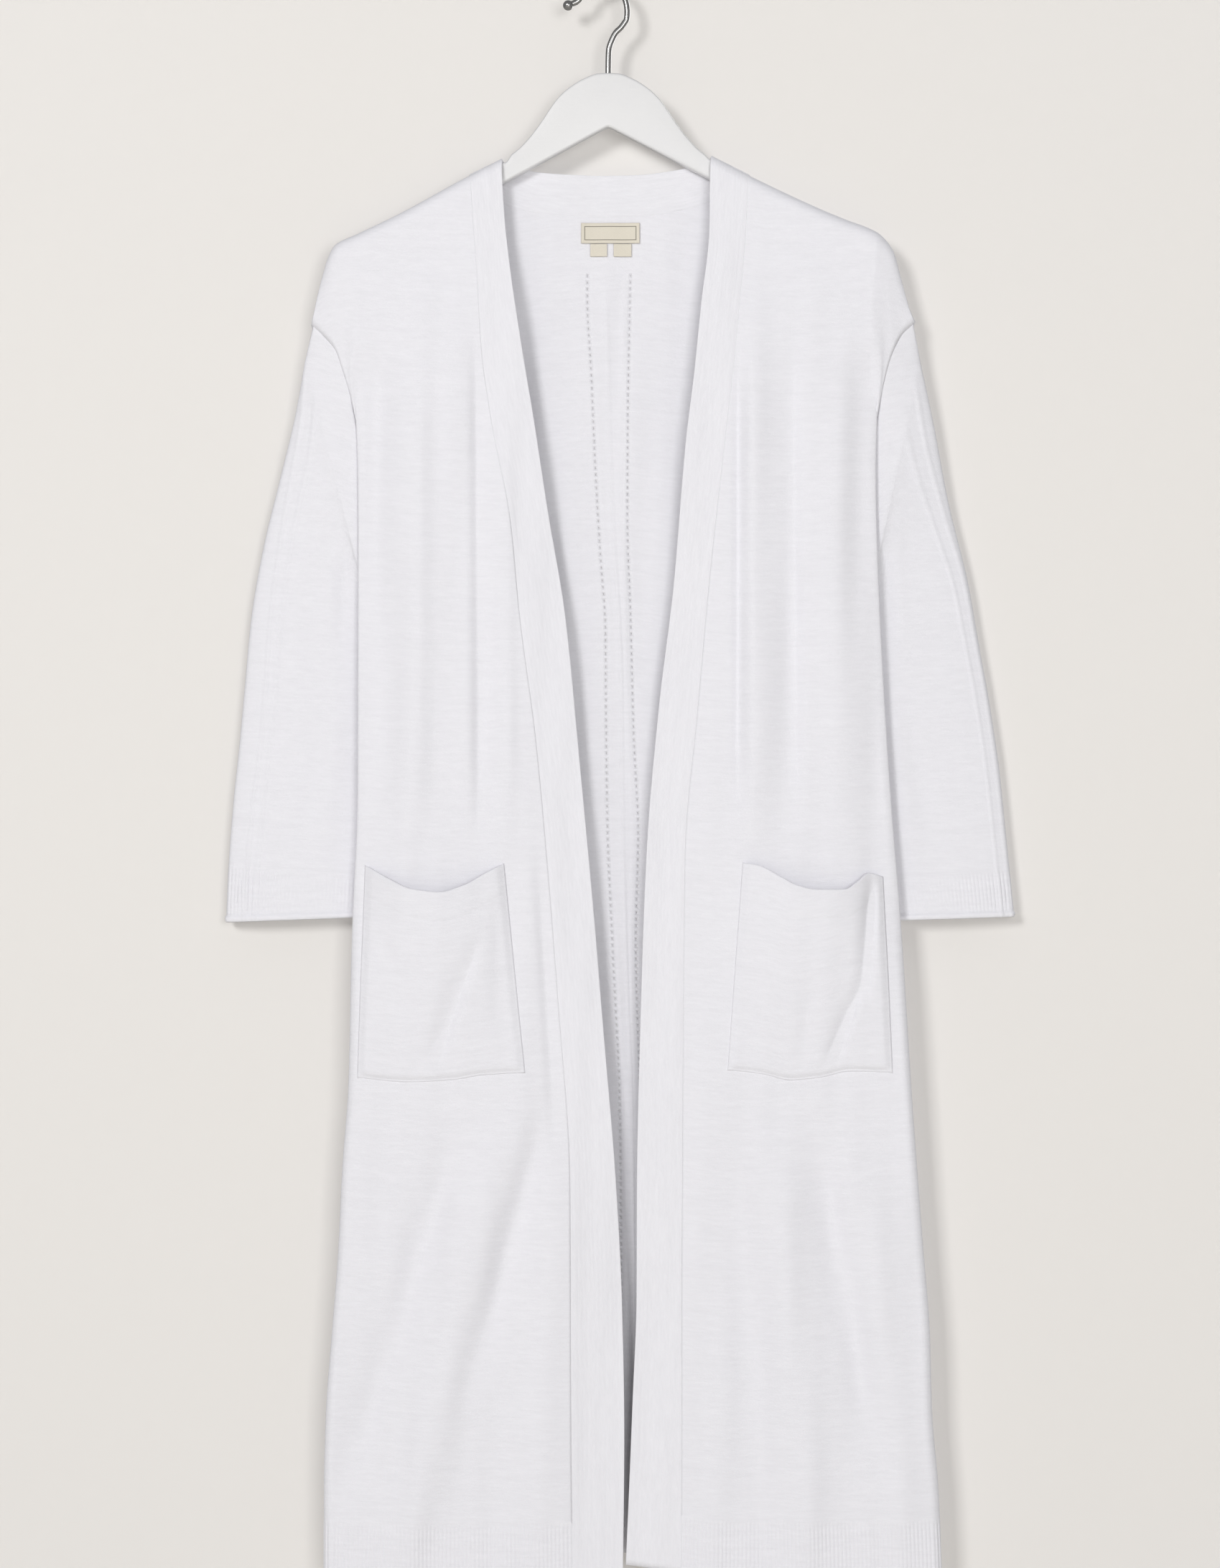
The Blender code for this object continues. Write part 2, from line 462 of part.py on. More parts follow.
def front(side):
    """A front: from the band's seam across to the side fold, and round it to the armhole and side seam."""
    sign = SIGN[side]
    top_x, top_drop, over_tip = shoulder_row(side, FRONT_STEP)
    seam_drop = top_drop[0] + ROWS * (hem_at(side, "seam") - top_drop[0])
    fold_drop = top_drop[over_tip] + ROWS * (hem_at(side, "fold") - top_drop[over_tip])
    settled = ease(ROWS / TURN_SETTLED)
    seam_x = read(BAND[side], "seam", seam_drop)
    seam_x[0] = NECK_POINT[side]
    fold_x = sign * (read(SIDE[side], "fold", fold_drop) - FOLD_TURN)
    fold_x += (1.0 - settled) * (top_x[over_tip] - fold_x)
    x, drop = spread(top_x[:over_tip + 1], top_drop[:over_tip + 1], seam_x, fold_x, HEM[side])
    main = points(x, front_depth(x, drop, side), drop)

    edge_drop = top_drop[-1] + ROWS * (fold_drop[-1] - top_drop[-1])
    edge = points(sign * edge_reach(side, edge_drop), read(ARMHOLE[side], "front", edge_drop), edge_drop)
    start = main[:, -1]
    control = (start + edge) / 2
    control[:, 0] = fold_x + sign * 2 * FOLD_TURN
    control[:, 2] = start[:, 2] + TURN_HIGH * (edge[:, 2] - start[:, 2])
    past_tip = len(top_x) - 1 - over_tip
    t = (np.arange(1, past_tip + 1) / past_tip)[None, :, None]
    turn = (1 - t) ** 2 * start[:, None] + 2 * t * (1 - t) * control[:, None] + t * t * edge[:, None]
    line = points(top_x[over_tip + 1:], -seam_space(top_x[over_tip + 1:]), top_drop[over_tip + 1:])
    turn += (1.0 - settled)[:, None, None] * (line - turn[0])
    return np.concatenate([main, turn], axis=1)


def back():
    """The back, from armhole to armhole: its top row is the shoulders and the seam under the neck band."""
    right_x, right_drop, _ = shoulder_row("right", BACK_STEP)
    left_x, left_drop, _ = shoulder_row("left", BACK_STEP)
    rows = NECK_ROWS[1:-1]
    neck_x, neck_drop = read(NECK, "seam_x", rows), read(NECK, "seam_drop", rows)
    top_x = np.concatenate([right_x[::-1], neck_x, left_x])
    top_drop = np.concatenate([right_drop[::-1], neck_drop, left_drop])
    edges = {}
    for side, tip, hem in (("right", top_drop[0], HEM["back"]["drop"][0]),
                           ("left", top_drop[-1], HEM["back"]["drop"][-1])):
        edges[side] = SIGN[side] * edge_reach(side, tip + ROWS * (hem - tip))
    x, drop = spread(top_x, top_drop, edges["right"], edges["left"], HEM["back"])
    return points(x, back_depth(x, drop), drop)


def band():
    """The front band in one run: up the right front, round the back of the neck, down the left front."""
    share = np.linspace(0.0, 1.0, BAND_COLUMNS + 1)
    runs = []
    for side in ("right", "left"):
        line = SHOULDER[side]
        seam_top = np.interp(abs(NECK_POINT[side]), np.abs(line["x"]), line["drop"])
        edge_top = line["drop"][0]
        seam_drop = seam_top + ROWS * (hem_at(side, "seam") - seam_top)
        edge_drop = edge_top + ROWS * (hem_at(side, "edge") - edge_top)
        seam, edge = read(BAND[side], "seam", seam_drop), read(BAND[side], "edge", edge_drop)
        seam[0], edge[0] = NECK_POINT[side], line["x"][0]
        corner = 1.0 + CORNER_ROOM * np.exp(-(ROWS * GARMENT_LENGTH / CORNER_DOWN) ** 2)
        keep = share + (1.0 - share) * (BAND_SEAM * corner / np.abs(edge - seam))[:, None]
        x = seam[:, None] + keep * (edge - seam)[:, None]
        drop = seam_drop[:, None] + share * (edge_drop - seam_drop)[:, None]
        depth = front_depth(x, drop, side)
        depth[0] = 0.0
        runs.append(points(x, depth, drop))
    seam_x, seam_drop = read(NECK, "seam_x", NECK_ROWS), read(NECK, "seam_drop", NECK_ROWS)
    edge_x, edge_drop = read(NECK, "edge_x", NECK_ROWS), read(NECK, "edge_drop", NECK_ROWS)
    wide = np.hypot(edge_x - seam_x, edge_drop - seam_drop)[:, None]
    from_corner = np.minimum(NECK_ROWS, NECK["row"][-1] - NECK_ROWS)[:, None]
    corner = 1.0 + CORNER_ROOM * np.exp(-(from_corner / CORNER_ROWS) ** 2)
    keep = share + (1.0 - share) * BAND_SEAM * corner / wide
    x = seam_x[:, None] + keep * (edge_x - seam_x)[:, None]
    drop = seam_drop[:, None] + keep * (edge_drop - seam_drop)[:, None]
    neck = points(x, back_depth(x, drop), drop)
    return np.concatenate([runs[0][::-1], neck, runs[1]])


def armhole_ring(side):
    """The ring where the sleeve starts: down the front half of the armhole seam and up the back half, just
    past the body's edge, and behind it where the body folds over the sleeve."""
    sign = SIGN[side]
    turn = np.arange(SLEEVE_ROUND) * 2 * np.pi / SLEEVE_ROUND
    tip, under = SHOULDER[side]["drop"][-1], UNDERARM[side]
    drop = tip + (1.0 - np.cos(turn)) / 2 * (under - tip)
    in_front = 0.5 + 0.5 * np.clip(np.sin(turn) / np.sin(turn[1]), -1.0, 1.0)
    front_y = read(ARMHOLE[side], "front", drop) + LAP * ease((drop - LAP_FROM) / LAP_OVER)
    back_y = read(ARMHOLE[side], "back", drop)
    reach = edge_reach(side, drop) + 2 * SEAM + UNDERARM_CLEAR * ease((drop - under + LAP_OVER) / LAP_OVER)
    return points(sign * reach, in_front * front_y + (1.0 - in_front) * back_y, drop + 2 * SEAM)


def sleeve(side):
    """A sleeve: flat ovals from the armhole to the cuff. Round each oval the place runs from the outer edge,
    over the front, to the inner edge and back."""
    sign = SIGN[side]
    rows = SLEEVE[side]
    turn = np.arange(SLEEVE_ROUND) * 2 * np.pi / SLEEVE_ROUND
    share = (1.0 - np.cos(turn)) / 2
    at = np.maximum(SLEEVE_ROWS, 1.0)[:, None]
    outer, inner = read(rows, "outer", at), read(rows, "inner", at)
    outer_drop, inner_drop = read(rows, "outer_drop", at), read(rows, "inner_drop", at)
    round_out = np.sign(np.sin(turn)) * np.abs(np.sin(turn)) ** SLEEVE_FLATNESS
    ridge = SLEEVE_RIDGE * np.exp(-((turn - SLEEVE_RIDGE_AT) / SLEEVE_RIDGE_HALF) ** 2)
    ridge = ridge * ease((at - 1.0) / SLEEVE_RIDGE_OVER)
    depth = read(rows, "middle", at) - read(rows, "half", at) * round_out - ridge
    ovals = points(sign * (outer + share * (inner - outer)), depth,
                   outer_drop + share * (inner_drop - outer_drop))
    grow = np.minimum(SLEEVE_ROWS, 1.0)[:, None, None]
    return armhole_ring(side)[None] * (1.0 - grow) + ovals * grow


def pocket(side):
    """A patch pocket: it lies just before its front at its sewn sides and bottom, and its mouth sags open."""
    rows = POCKET[side]
    across = np.linspace(0.0, 1.0, POCKET_COLUMNS)[None, :]
    down = np.linspace(0.0, 1.0, POCKET_ROWS)[:, None]
    arch = 4.0 * across * (1.0 - across)
    top, bottom = rows["drop"]
    drop = top + POCKET_SAG * arch * (1.0 - down) + down * (bottom - top + POCKET_BOTTOM_SAG * arch)
    inner = rows["inner"][0] + down * (rows["inner"][1] - rows["inner"][0])
    outer = rows["outer"][0] + down * (rows["outer"][1] - rows["outer"][0])
    x = inner + across * (outer - inner)
    swell = np.sin(np.pi * across)
    stand = POCKET_OPEN * swell * (1.0 - down) ** MOUTH_FADE + POCKET_FULL * swell * np.sin(np.pi * down)
    return points(x, front_depth(x, drop, side) - POCKET_CLEAR - stand, drop)


def patch(rows, columns):
    """A small woven piece on the inside of the back, just before it."""
    across = np.linspace(0.0, 1.0, columns)[None, :]
    down = np.linspace(0.0, 1.0, PATCH_ROWS)[:, None]
    drop = rows["drop"][0] + down * (rows["drop"][1] - rows["drop"][0])
    x = rows["left"][0] + across * (rows["right"][0] - rows["left"][0])
    drop = drop + 0.0 * x
    return points(x, back_depth(x, drop) - WALL / 2 - SEAM - LABEL_WALL, drop)


def hanger_rings():
    """The hanger as sections across its length: rounded oblongs between its top and its underside."""
    corner = np.radians((0, 30, 60, 90))
    rings = []
    steps = [("right", r) for r in HANGER_STEPS[:0:-1]] + [("left", r) for r in HANGER_STEPS]
    for side, reach in steps:
        x = HANGER_MIDDLE + SIGN[side] * reach
        line = SHOULDER[side]
        covered = np.interp(abs(x), np.abs(line["x"]), line["drop"]) + HANGER_BELOW
        top = read(HANGER_TOP, "drop", reach) if reach < HANGER_TOP["reach"][-1] else covered
        low = HANGER_NOTCH + HANGER_UNDER[side] * reach
        into = max(0.0, reach - (HANGER_REACH - HANGER_TIP)) / HANGER_TIP
        scale = np.sqrt(1.0 - into * into)
        middle, high = (top + low) / 2, (low - top) / 2 * scale
        thick = HANGER_HALF * (HANGER_TIP_THIN + (1.0 - HANGER_TIP_THIN) * scale)
        radius = min(HANGER_CORNER, thick * CORNER_MOST, high * CORNER_MOST)
        ring = []
        for sy, sz in ((1, -1), (1, 1), (-1, 1), (-1, -1)):
            angles = corner if sy == sz else corner[::-1]
            for a in angles:
                ring.append((x, sy * (thick - radius + radius * np.cos(a)),
                             -(middle + sz * (high - radius + radius * np.sin(a)))))
        rings.append(ring)
    return np.array(rings)


def hook_rings():
    """The hook's wire: up from the wood, round the crook, and out to the ball at its end."""
    crook = [(CROOK_ACROSS * np.cos(a), CROOK_MIDDLE - CROOK_HIGH * np.sin(a)) for a in CROOK_SWEEP]
    wire = np.array(list(SHANK) + crook + list(HOOK_END))
    toward = np.array(BALL_MIDDLE) - wire[-1]
    toward = toward / np.hypot(*toward)
    ball = np.array([np.array(BALL_MIDDLE) + toward * BALL_RADIUS * s for s in BALL_STEPS])
    path = np.concatenate([wire, ball])
    radii = np.concatenate([np.full(len(wire), HOOK_RADIUS),
                            BALL_RADIUS * np.sqrt(1.0 - np.array(BALL_STEPS) ** 2)])
    ahead = np.gradient(path, axis=0)
    ahead = ahead / np.linalg.norm(ahead, axis=1, keepdims=True)
    turn = np.arange(HOOK_SIDES) * 2 * np.pi / HOOK_SIDES
    out = radii[:, None] * np.cos(turn)
    x = path[:, :1] + ahead[:, 1:] * out
    drop = path[:, 1:] - ahead[:, :1] * out
    return points(x, radii[:, None] * np.sin(turn), drop)


for item in list(bpy.data.objects):
    bpy.data.objects.remove(item, do_unlink=True)

cloth("back", back())
for wearers in SIGN:
    cloth("front_" + wearers, front(wearers))
    cloth("sleeve_" + wearers, sleeve(wearers), closed=True)
    cloth("pocket_" + wearers, pocket(wearers))
cloth("front_band", band(), BAND_WALL)
cloth("label", patch(LABEL, 6), LABEL_WALL, colour=LABEL_COLOUR)
for tab, size in TABS.items():
    cloth("label_" + tab, patch(size, 3), LABEL_WALL, colour=LABEL_COLOUR)
rod("hanger_body", hanger_rings(), WOOD_COLOUR, 0.40)
rod("hanger_hook", hook_rings(), WIRE_COLOUR, 0.22, 1.0)
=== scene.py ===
"""A long white knitted duster cardigan with an open front, on a painted wooden hanger.

Metres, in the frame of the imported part: the origin is the seat of the hanger's hook, +Z is up and the open
front faces -Y. Right and left are the wearer's, so the right front hangs at -X. A point's drop is its
distance below the hook's seat.
"""

import bmesh
import bpy
import numpy as np
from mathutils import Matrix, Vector


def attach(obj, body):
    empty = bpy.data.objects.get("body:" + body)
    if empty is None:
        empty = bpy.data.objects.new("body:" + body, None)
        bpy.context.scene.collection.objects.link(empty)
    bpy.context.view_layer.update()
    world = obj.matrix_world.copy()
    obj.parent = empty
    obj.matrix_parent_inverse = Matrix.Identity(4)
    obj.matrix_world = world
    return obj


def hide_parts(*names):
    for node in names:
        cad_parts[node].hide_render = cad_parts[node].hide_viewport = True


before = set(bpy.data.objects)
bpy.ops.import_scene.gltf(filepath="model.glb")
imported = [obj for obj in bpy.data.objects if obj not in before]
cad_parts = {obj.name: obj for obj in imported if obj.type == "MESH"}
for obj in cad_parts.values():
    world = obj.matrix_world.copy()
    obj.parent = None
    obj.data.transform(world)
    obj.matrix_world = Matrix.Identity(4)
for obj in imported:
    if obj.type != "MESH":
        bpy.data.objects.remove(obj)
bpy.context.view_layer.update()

# The hanger's body: a flat bow of wood with a curved neck and two sloping arms, its long edges rounded over.
# It is sanded smooth and sprayed with satin white paint, and the garment's shoulders lie on its arms.
SIGN = {"right": -1.0, "left": 1.0}


def table(names, *rows):
    """A table's columns by name. The first column is the place that the others are read at."""
    return dict(zip(names.split(), np.array(rows, dtype=float).T))


def smooth(at, stations, values):
    """A cubic through the stations' values that never swings past them: the slope at each station is the
    harmonic mean of the slopes on its two sides, or level at a top or a bottom."""
    at = np.asarray(at, dtype=float)
    rise = np.diff(values) / np.diff(stations)
    climbs = rise[:-1] * rise[1:] > 0.0
    both = np.where(climbs, rise[:-1] + rise[1:], 1.0)
    inner = np.where(climbs, 2.0 * rise[:-1] * rise[1:] / both, 0.0)
    slopes = np.concatenate([rise[:1], inner, rise[-1:]])
    first = np.clip(np.searchsorted(stations, at) - 1, 0, len(stations) - 2)
    span = stations[first + 1] - stations[first]
    t = np.clip((at - stations[first]) / span, 0.0, 1.0)
    start = (2 * t**3 - 3 * t**2 + 1) * values[first] + (t**3 - 2 * t**2 + t) * span * slopes[first]
    end = (3 * t**2 - 2 * t**3) * values[first + 1] + (t**3 - t**2) * span * slopes[first + 1]
    return start + end


def read(rows, column, at):
    """A column of a table, read smoothly at a value of its first column."""
    return smooth(at, next(iter(rows.values())), rows[column])


def ease(share):
    """Zero below 0, one above 1, and a soft S between."""
    t = np.clip(share, 0.0, 1.0)
    return t * t * (3.0 - 2.0 * t)


def points(x, y, drop):
    """A grid of points from its x, y and drop."""
    return np.stack(np.broadcast_arrays(x, y, -np.asarray(drop)), axis=-1)


def grid_faces(rows, columns, closed=False, start=0):
    """The quads of a grid of points, as rows of four vertex numbers."""
    r = np.arange(rows - 1)[:, None] * columns
    c = np.arange(columns if closed else columns - 1)[None, :]
    a, b = r + c, r + (c + 1) % columns
    return np.stack([a, b, b + columns, a + columns], axis=-1).reshape(-1, 4) + start


def make_piece(name, vertices, faces, material, node, uv=None, wall=0.0):
    """A mesh from vertices and faces, riding on the part. Doubles are merged, a closed mesh is turned to
    face outwards, and a single layer of cloth gets its wall, half to each side."""
    mesh = bpy.data.meshes.new(name)
    mesh.from_pydata(vertices.tolist(), [], faces)
    if uv is not None:
        layer = mesh.uv_layers.new(name="yarn")
        corner = np.empty(len(mesh.loops), dtype=np.int32)
        mesh.loops.foreach_get("vertex_index", corner)
        layer.data.foreach_set("uv", uv[corner].ravel())
    shape = bmesh.new()
    shape.from_mesh(mesh)
    bmesh.ops.remove_doubles(shape, verts=shape.verts, dist=2e-6)
    bmesh.ops.recalc_face_normals(shape, faces=shape.faces)
    shape.to_mesh(mesh)
    shape.free()
    mesh.shade_smooth()
    mesh.materials.append(material)
    piece = bpy.data.objects.new(name, mesh)
    bpy.context.scene.collection.objects.link(piece)
    if wall:
        thick = piece.modifiers.new("wall", "SOLIDIFY")
        thick.thickness = wall
        thick.offset = 0.0
    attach(piece, "root")
    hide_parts(node)
    return piece


def new_material(name, colour, roughness):
    """A material on the plain shader, with its colour and roughness set."""
    material = bpy.data.materials.new(name)
    material.use_nodes = True
    shader = material.node_tree.nodes["Principled BSDF"]
    shader.inputs["Base Color"].default_value = (*colour, 1.0)
    shader.inputs["Roughness"].default_value = roughness
    return material


def add(material, kind, settings=(), **inputs):
    """A node of a kind, with its settings and the values or links of its inputs, by name or number."""
    tree = material.node_tree
    made = tree.nodes.new(kind)
    for key, value in dict(settings).items():
        setattr(made, key, value)
    for key, value in inputs.items():
        socket = made.inputs[int(key[1:])] if key[0] == "n" and key[1:].isdigit() else made.inputs[
            key.replace("_", " ")]
        if isinstance(value, bpy.types.NodeSocket):
            tree.links.new(value, socket)
        else:
            socket.default_value = value
    return made


def plug(material, output, socket):
    """Link an output to a socket of the material's shader."""
    material.node_tree.links.new(output, material.node_tree.nodes["Principled BSDF"].inputs[socket])


SHOULDER = {
    "right": table("x drop",
                   (-0.0800, 0.1400), (-0.1143, 0.1577), (-0.1600, 0.1828), (-0.1943, 0.1994),
                   (-0.2125, 0.2083), (-0.2185, 0.2190), (-0.2215, 0.2290), (-0.2262, 0.2470),
                   (-0.2316, 0.2710)),
    "left": table("x drop",
                  (0.0857, 0.1377), (0.1200, 0.1554), (0.1714, 0.1795), (0.1908, 0.1876),
                  (0.2180, 0.1988), (0.2302, 0.2130), (0.2353, 0.2308), (0.2430, 0.2588),
                  (0.2475, 0.2690)),
}
HANGER_TOP = table("reach drop",
                   (0.0000, 0.0712), (0.0080, 0.0716), (0.0194, 0.0757), (0.0306, 0.0825), (0.0400, 0.0910),
                   (0.0547, 0.1121), (0.0627, 0.1225), (0.0707, 0.1310), (0.0803, 0.1385))
HANGER_NOTCH = 0.1137
HANGER_UNDER = {"right": 0.543, "left": 0.519}
HANGER_BELOW = 0.0025
HANGER_MIDDLE = 0.0040
HANGER_REACH = 0.2145
HANGER_TIP = 0.0110
HANGER_HALF = 0.0055
HANGER_CORNER = 0.0024


def shoulder_drop(side, x):
    """Drop of the shoulder line at x, smoothly through the table's points."""
    line = SHOULDER[side]
    return smooth(np.abs(x), np.abs(line["x"]), line["drop"])


def hanger_arm(side):
    """Sections of one arm from the middle out: rounded oblongs between the top line and the underside, whose
    height and thickness shrink to a round tip as the square root of one less the share squared."""
    tip = HANGER_REACH - HANGER_TIP + HANGER_TIP * np.sin(np.radians(np.linspace(6, 88, 14)))
    reach = np.concatenate([np.linspace(0.0, HANGER_REACH - HANGER_TIP, 120), tip])
    x = HANGER_MIDDLE + SIGN[side] * reach
    covered = shoulder_drop(side, x) + HANGER_BELOW
    bare = read(HANGER_TOP, "drop", reach)
    top = bare + (covered - bare) * ease((reach - 0.0765) / 0.0060)
    low = HANGER_NOTCH + HANGER_UNDER[side] * np.sqrt(reach**2 + 0.0012**2)
    into = np.clip((reach - HANGER_REACH + HANGER_TIP) / HANGER_TIP, 0.0, 1.0)
    scale = np.sqrt(1.0 - into**2)
    middle, high = (top + low) / 2, (low - top) / 2 * scale
    thick = HANGER_HALF * (0.35 + 0.65 * scale)
    radius = np.minimum(HANGER_CORNER, np.minimum(thick, high) * 0.92)[:, None]
    turn = np.radians(np.linspace(0, 90, 9))
    around = np.concatenate([turn, np.pi - turn[::-1], np.pi + turn, 2 * np.pi - turn[::-1]])[None, :]
    corners = np.repeat([(1, 1), (-1, 1), (-1, -1), (1, -1)], 9, axis=0).T
    side_y, side_z = corners[0][None, :], corners[1][None, :]
    y = side_y * (thick[:, None] - radius) + radius * np.cos(around)
    z = side_z * (high[:, None] - radius) + radius * np.sin(around)
    return points(x[:, None], y, middle[:, None] - z)


def satin_paint():
    """White satin paint: almost smooth, with the faint ripple that a sprayed coat keeps and a thin gloss."""
    paint = new_material("painted_wood", (0.75, 0.745, 0.75), 0.38)
    shader = paint.node_tree.nodes["Principled BSDF"]
    shader.inputs["Coat Weight"].default_value = 0.25
    shader.inputs["Coat Roughness"].default_value = 0.30
    where = add(paint, "ShaderNodeTexCoord").outputs["Object"]
    stretched = add(paint, "ShaderNodeMapping", Vector=where, Scale=(60.0, 260.0, 420.0)).outputs[0]
    grain = add(paint, "ShaderNodeTexNoise", Vector=stretched, Scale=1.0, Detail=3.0).outputs["Fac"]
    ripple = add(paint, "ShaderNodeTexNoise", Vector=where, Scale=330.0, Detail=1.0).outputs["Fac"]
    relief = add(paint, "ShaderNodeMath", {"operation": "ADD"}, n0=grain, n1=ripple).outputs[0]
    bump = add(paint, "ShaderNodeBump", Height=relief, Strength=0.12, Distance=0.0006)
    plug(paint, bump.outputs[0], "Normal")
    cloudy = add(paint, "ShaderNodeTexNoise", Vector=where, Scale=14.0, Detail=2.0).outputs["Fac"]
    tint = add(paint, "ShaderNodeMix", {"data_type": "RGBA"}, Factor=cloudy,
               n6=(0.73, 0.725, 0.735, 1.0), n7=(0.77, 0.765, 0.765, 1.0))
    plug(paint, tint.outputs[2], "Base Color")
    return paint


arms = {side: hanger_arm(side) for side in SIGN}
bow = np.concatenate([arms["right"][:0:-1], arms["left"]])
bow_faces = grid_faces(*bow.shape[:2], closed=True).tolist()
bow_faces += [list(range(bow.shape[1])), list(range((len(bow) - 1) * bow.shape[1], len(bow) * bow.shape[1]))]
make_piece("hanger_bow", bow.reshape(-1, 3), bow_faces, satin_paint(), "hanger_body")

# The hanger's hook: one length of plated steel wire, bent to a crook that turns in the wood, with a small
# ball pressed on its end so that it doesn't scratch the rail.
HOOK_RADIUS = 0.0023
BALL_RADIUS = 0.0041
SHANK = np.array([(0.0040, 0.0745), (0.0040, 0.0690), (0.0041, 0.0600), (0.0045, 0.0520), (0.0062, 0.0460),
                  (0.0097, 0.0389), (0.0140, 0.0345), (0.0168, 0.0308)])
CROOK_ACROSS, CROOK_HIGH, CROOK_MIDDLE = 0.0191, 0.0245, 0.0222
HOOK_END = np.array([(-0.0160, 0.0065), (-0.0182, 0.0110), (-0.0212, 0.0140), (-0.0242, 0.0153)])
BALL_MIDDLE = np.array([-0.0279, 0.0168])


def bent_wire(stations, each):
    """A curve through the stations: between two of them a cubic whose slopes are half the step from the
    station before to the one after."""
    ends = np.concatenate([2 * stations[:1] - stations[1:2], stations, 2 * stations[-1:] - stations[-2:-1]])
    slope = (ends[2:] - ends[:-2]) / 2
    t = np.linspace(0, 1, each, endpoint=False)[None, :, None]
    a, b, sa, sb = (v[:, None] for v in (stations[:-1], stations[1:], slope[:-1], slope[1:]))
    run = ((2 * t**3 - 3 * t**2 + 1) * a + (t**3 - 2 * t**2 + t) * sa
           + (3 * t**2 - 2 * t**3) * b + (t**3 - t**2) * sb)
    return np.concatenate([run.reshape(-1, 2), stations[-1:]])


def hook_rings(sides):
    """Circles along the wire. Past its end they run over the ball, with radii of a circle's half chord."""
    sweep = np.radians(np.linspace(-12, 132, 10))
    crook = np.stack([CROOK_ACROSS * np.cos(sweep), CROOK_MIDDLE - CROOK_HIGH * np.sin(sweep)], axis=1)
    wire = bent_wire(np.concatenate([SHANK, crook, HOOK_END]), 10)
    toward = (BALL_MIDDLE - wire[-1]) / np.linalg.norm(BALL_MIDDLE - wire[-1])
    over = np.cos(np.radians(np.linspace(146, 4, 22)))
    path = np.concatenate([wire, BALL_MIDDLE + toward * BALL_RADIUS * over[:, None]])
    radii = np.concatenate([np.full(len(wire), HOOK_RADIUS), BALL_RADIUS * np.sqrt(1.0 - over**2)])
    ahead = np.gradient(path, axis=0)
    ahead[len(wire):] = toward
    ahead /= np.linalg.norm(ahead, axis=1, keepdims=True)
    turn = np.arange(sides) * 2 * np.pi / sides
    out = radii[:, None] * np.cos(turn)
    return points(path[:, :1] + ahead[:, 1:] * out, radii[:, None] * np.sin(turn),
                  path[:, 1:] - ahead[:, :1] * out)


def plated_wire():
    """Bright plating with the fine drawn lines of the wire and a slightly uneven polish."""
    plate = new_material("hook_wire", (0.34, 0.335, 0.33), 0.24)
    plate.node_tree.nodes["Principled BSDF"].inputs["Metallic"].default_value = 1.0
    where = add(plate, "ShaderNodeTexCoord").outputs["Object"]
    drawn = add(plate, "ShaderNodeTexNoise", Vector=where, Scale=5200.0, Detail=2.0).outputs["Fac"]
    rough = add(plate, "ShaderNodeMapRange", Value=drawn, n3=0.20, n4=0.28)
    plug(plate, rough.outputs[0], "Roughness")
    bump = add(plate, "ShaderNodeBump", Height=drawn, Strength=0.03, Distance=0.0001)
    plug(plate, bump.outputs[0], "Normal")
    return plate


hook = hook_rings(24)
hook_faces = grid_faces(*hook.shape[:2], closed=True).tolist()
hook_faces += [list(range(24)), list(range((len(hook) - 1) * 24, len(hook) * 24))]
make_piece("hanger_hook_wire", hook.reshape(-1, 3), hook_faces, plated_wire(), "hanger_hook")

# The back: one wide panel of fine slub jersey from shoulder to hem, knitted in one with its ribbed hem. Two
# rows of eyelets run down its middle with creases between them. It hangs from the hanger's arms.
WALL = 0.0020
SEAM = 0.0003
HUG = 0.0090
TIP_SPACE = 0.0006
NECK_POINT = {"right": -0.1050, "left": 0.1149}
NECK = table("row edge_x edge_drop seam_x seam_drop",
             (0, -0.0800, 0.1400, -0.1050, 0.1529), (1, -0.0770, 0.1428, -0.1010, 0.1600),
             (2, -0.0690, 0.1455, -0.0900, 0.1690), (3, -0.0460, 0.1490, -0.0580, 0.1808),
             (4, -0.0200, 0.1505, -0.0250, 0.1838), (5, 0.0040, 0.1510, 0.0040, 0.1845),
             (6, 0.0280, 0.1505, 0.0340, 0.1832), (7, 0.0500, 0.1480, 0.0640, 0.1785),
             (8, 0.0740, 0.1435, 0.0950, 0.1690), (9, 0.0830, 0.1402, 0.1090, 0.1600),
             (10, 0.0857, 0.1377, 0.1149, 0.1528))
SIDE = {
    "right": table("drop fold",
                   (0.200, 0.2085), (0.249, 0.2013), (0.290, 0.1990), (0.334, 0.1958), (0.400, 0.1951),
                   (0.640, 0.1953), (0.748, 0.1996), (0.873, 0.2024), (0.935, 0.2070), (1.009, 0.2107),
                   (1.071, 0.2155), (1.133, 0.2201), (1.196, 0.2218), (1.266, 0.2218)),
    "left": table("drop fold",
                  (0.190, 0.2180), (0.235, 0.2200), (0.271, 0.2195), (0.312, 0.2175), (0.373, 0.2167),
                  (0.434, 0.2179), (0.512, 0.2210), (0.637, 0.2284), (0.742, 0.2366), (0.873, 0.2446),
                  (0.997, 0.2537), (1.071, 0.2594), (1.133, 0.2611), (1.196, 0.2662), (1.264, 0.2690)),
}
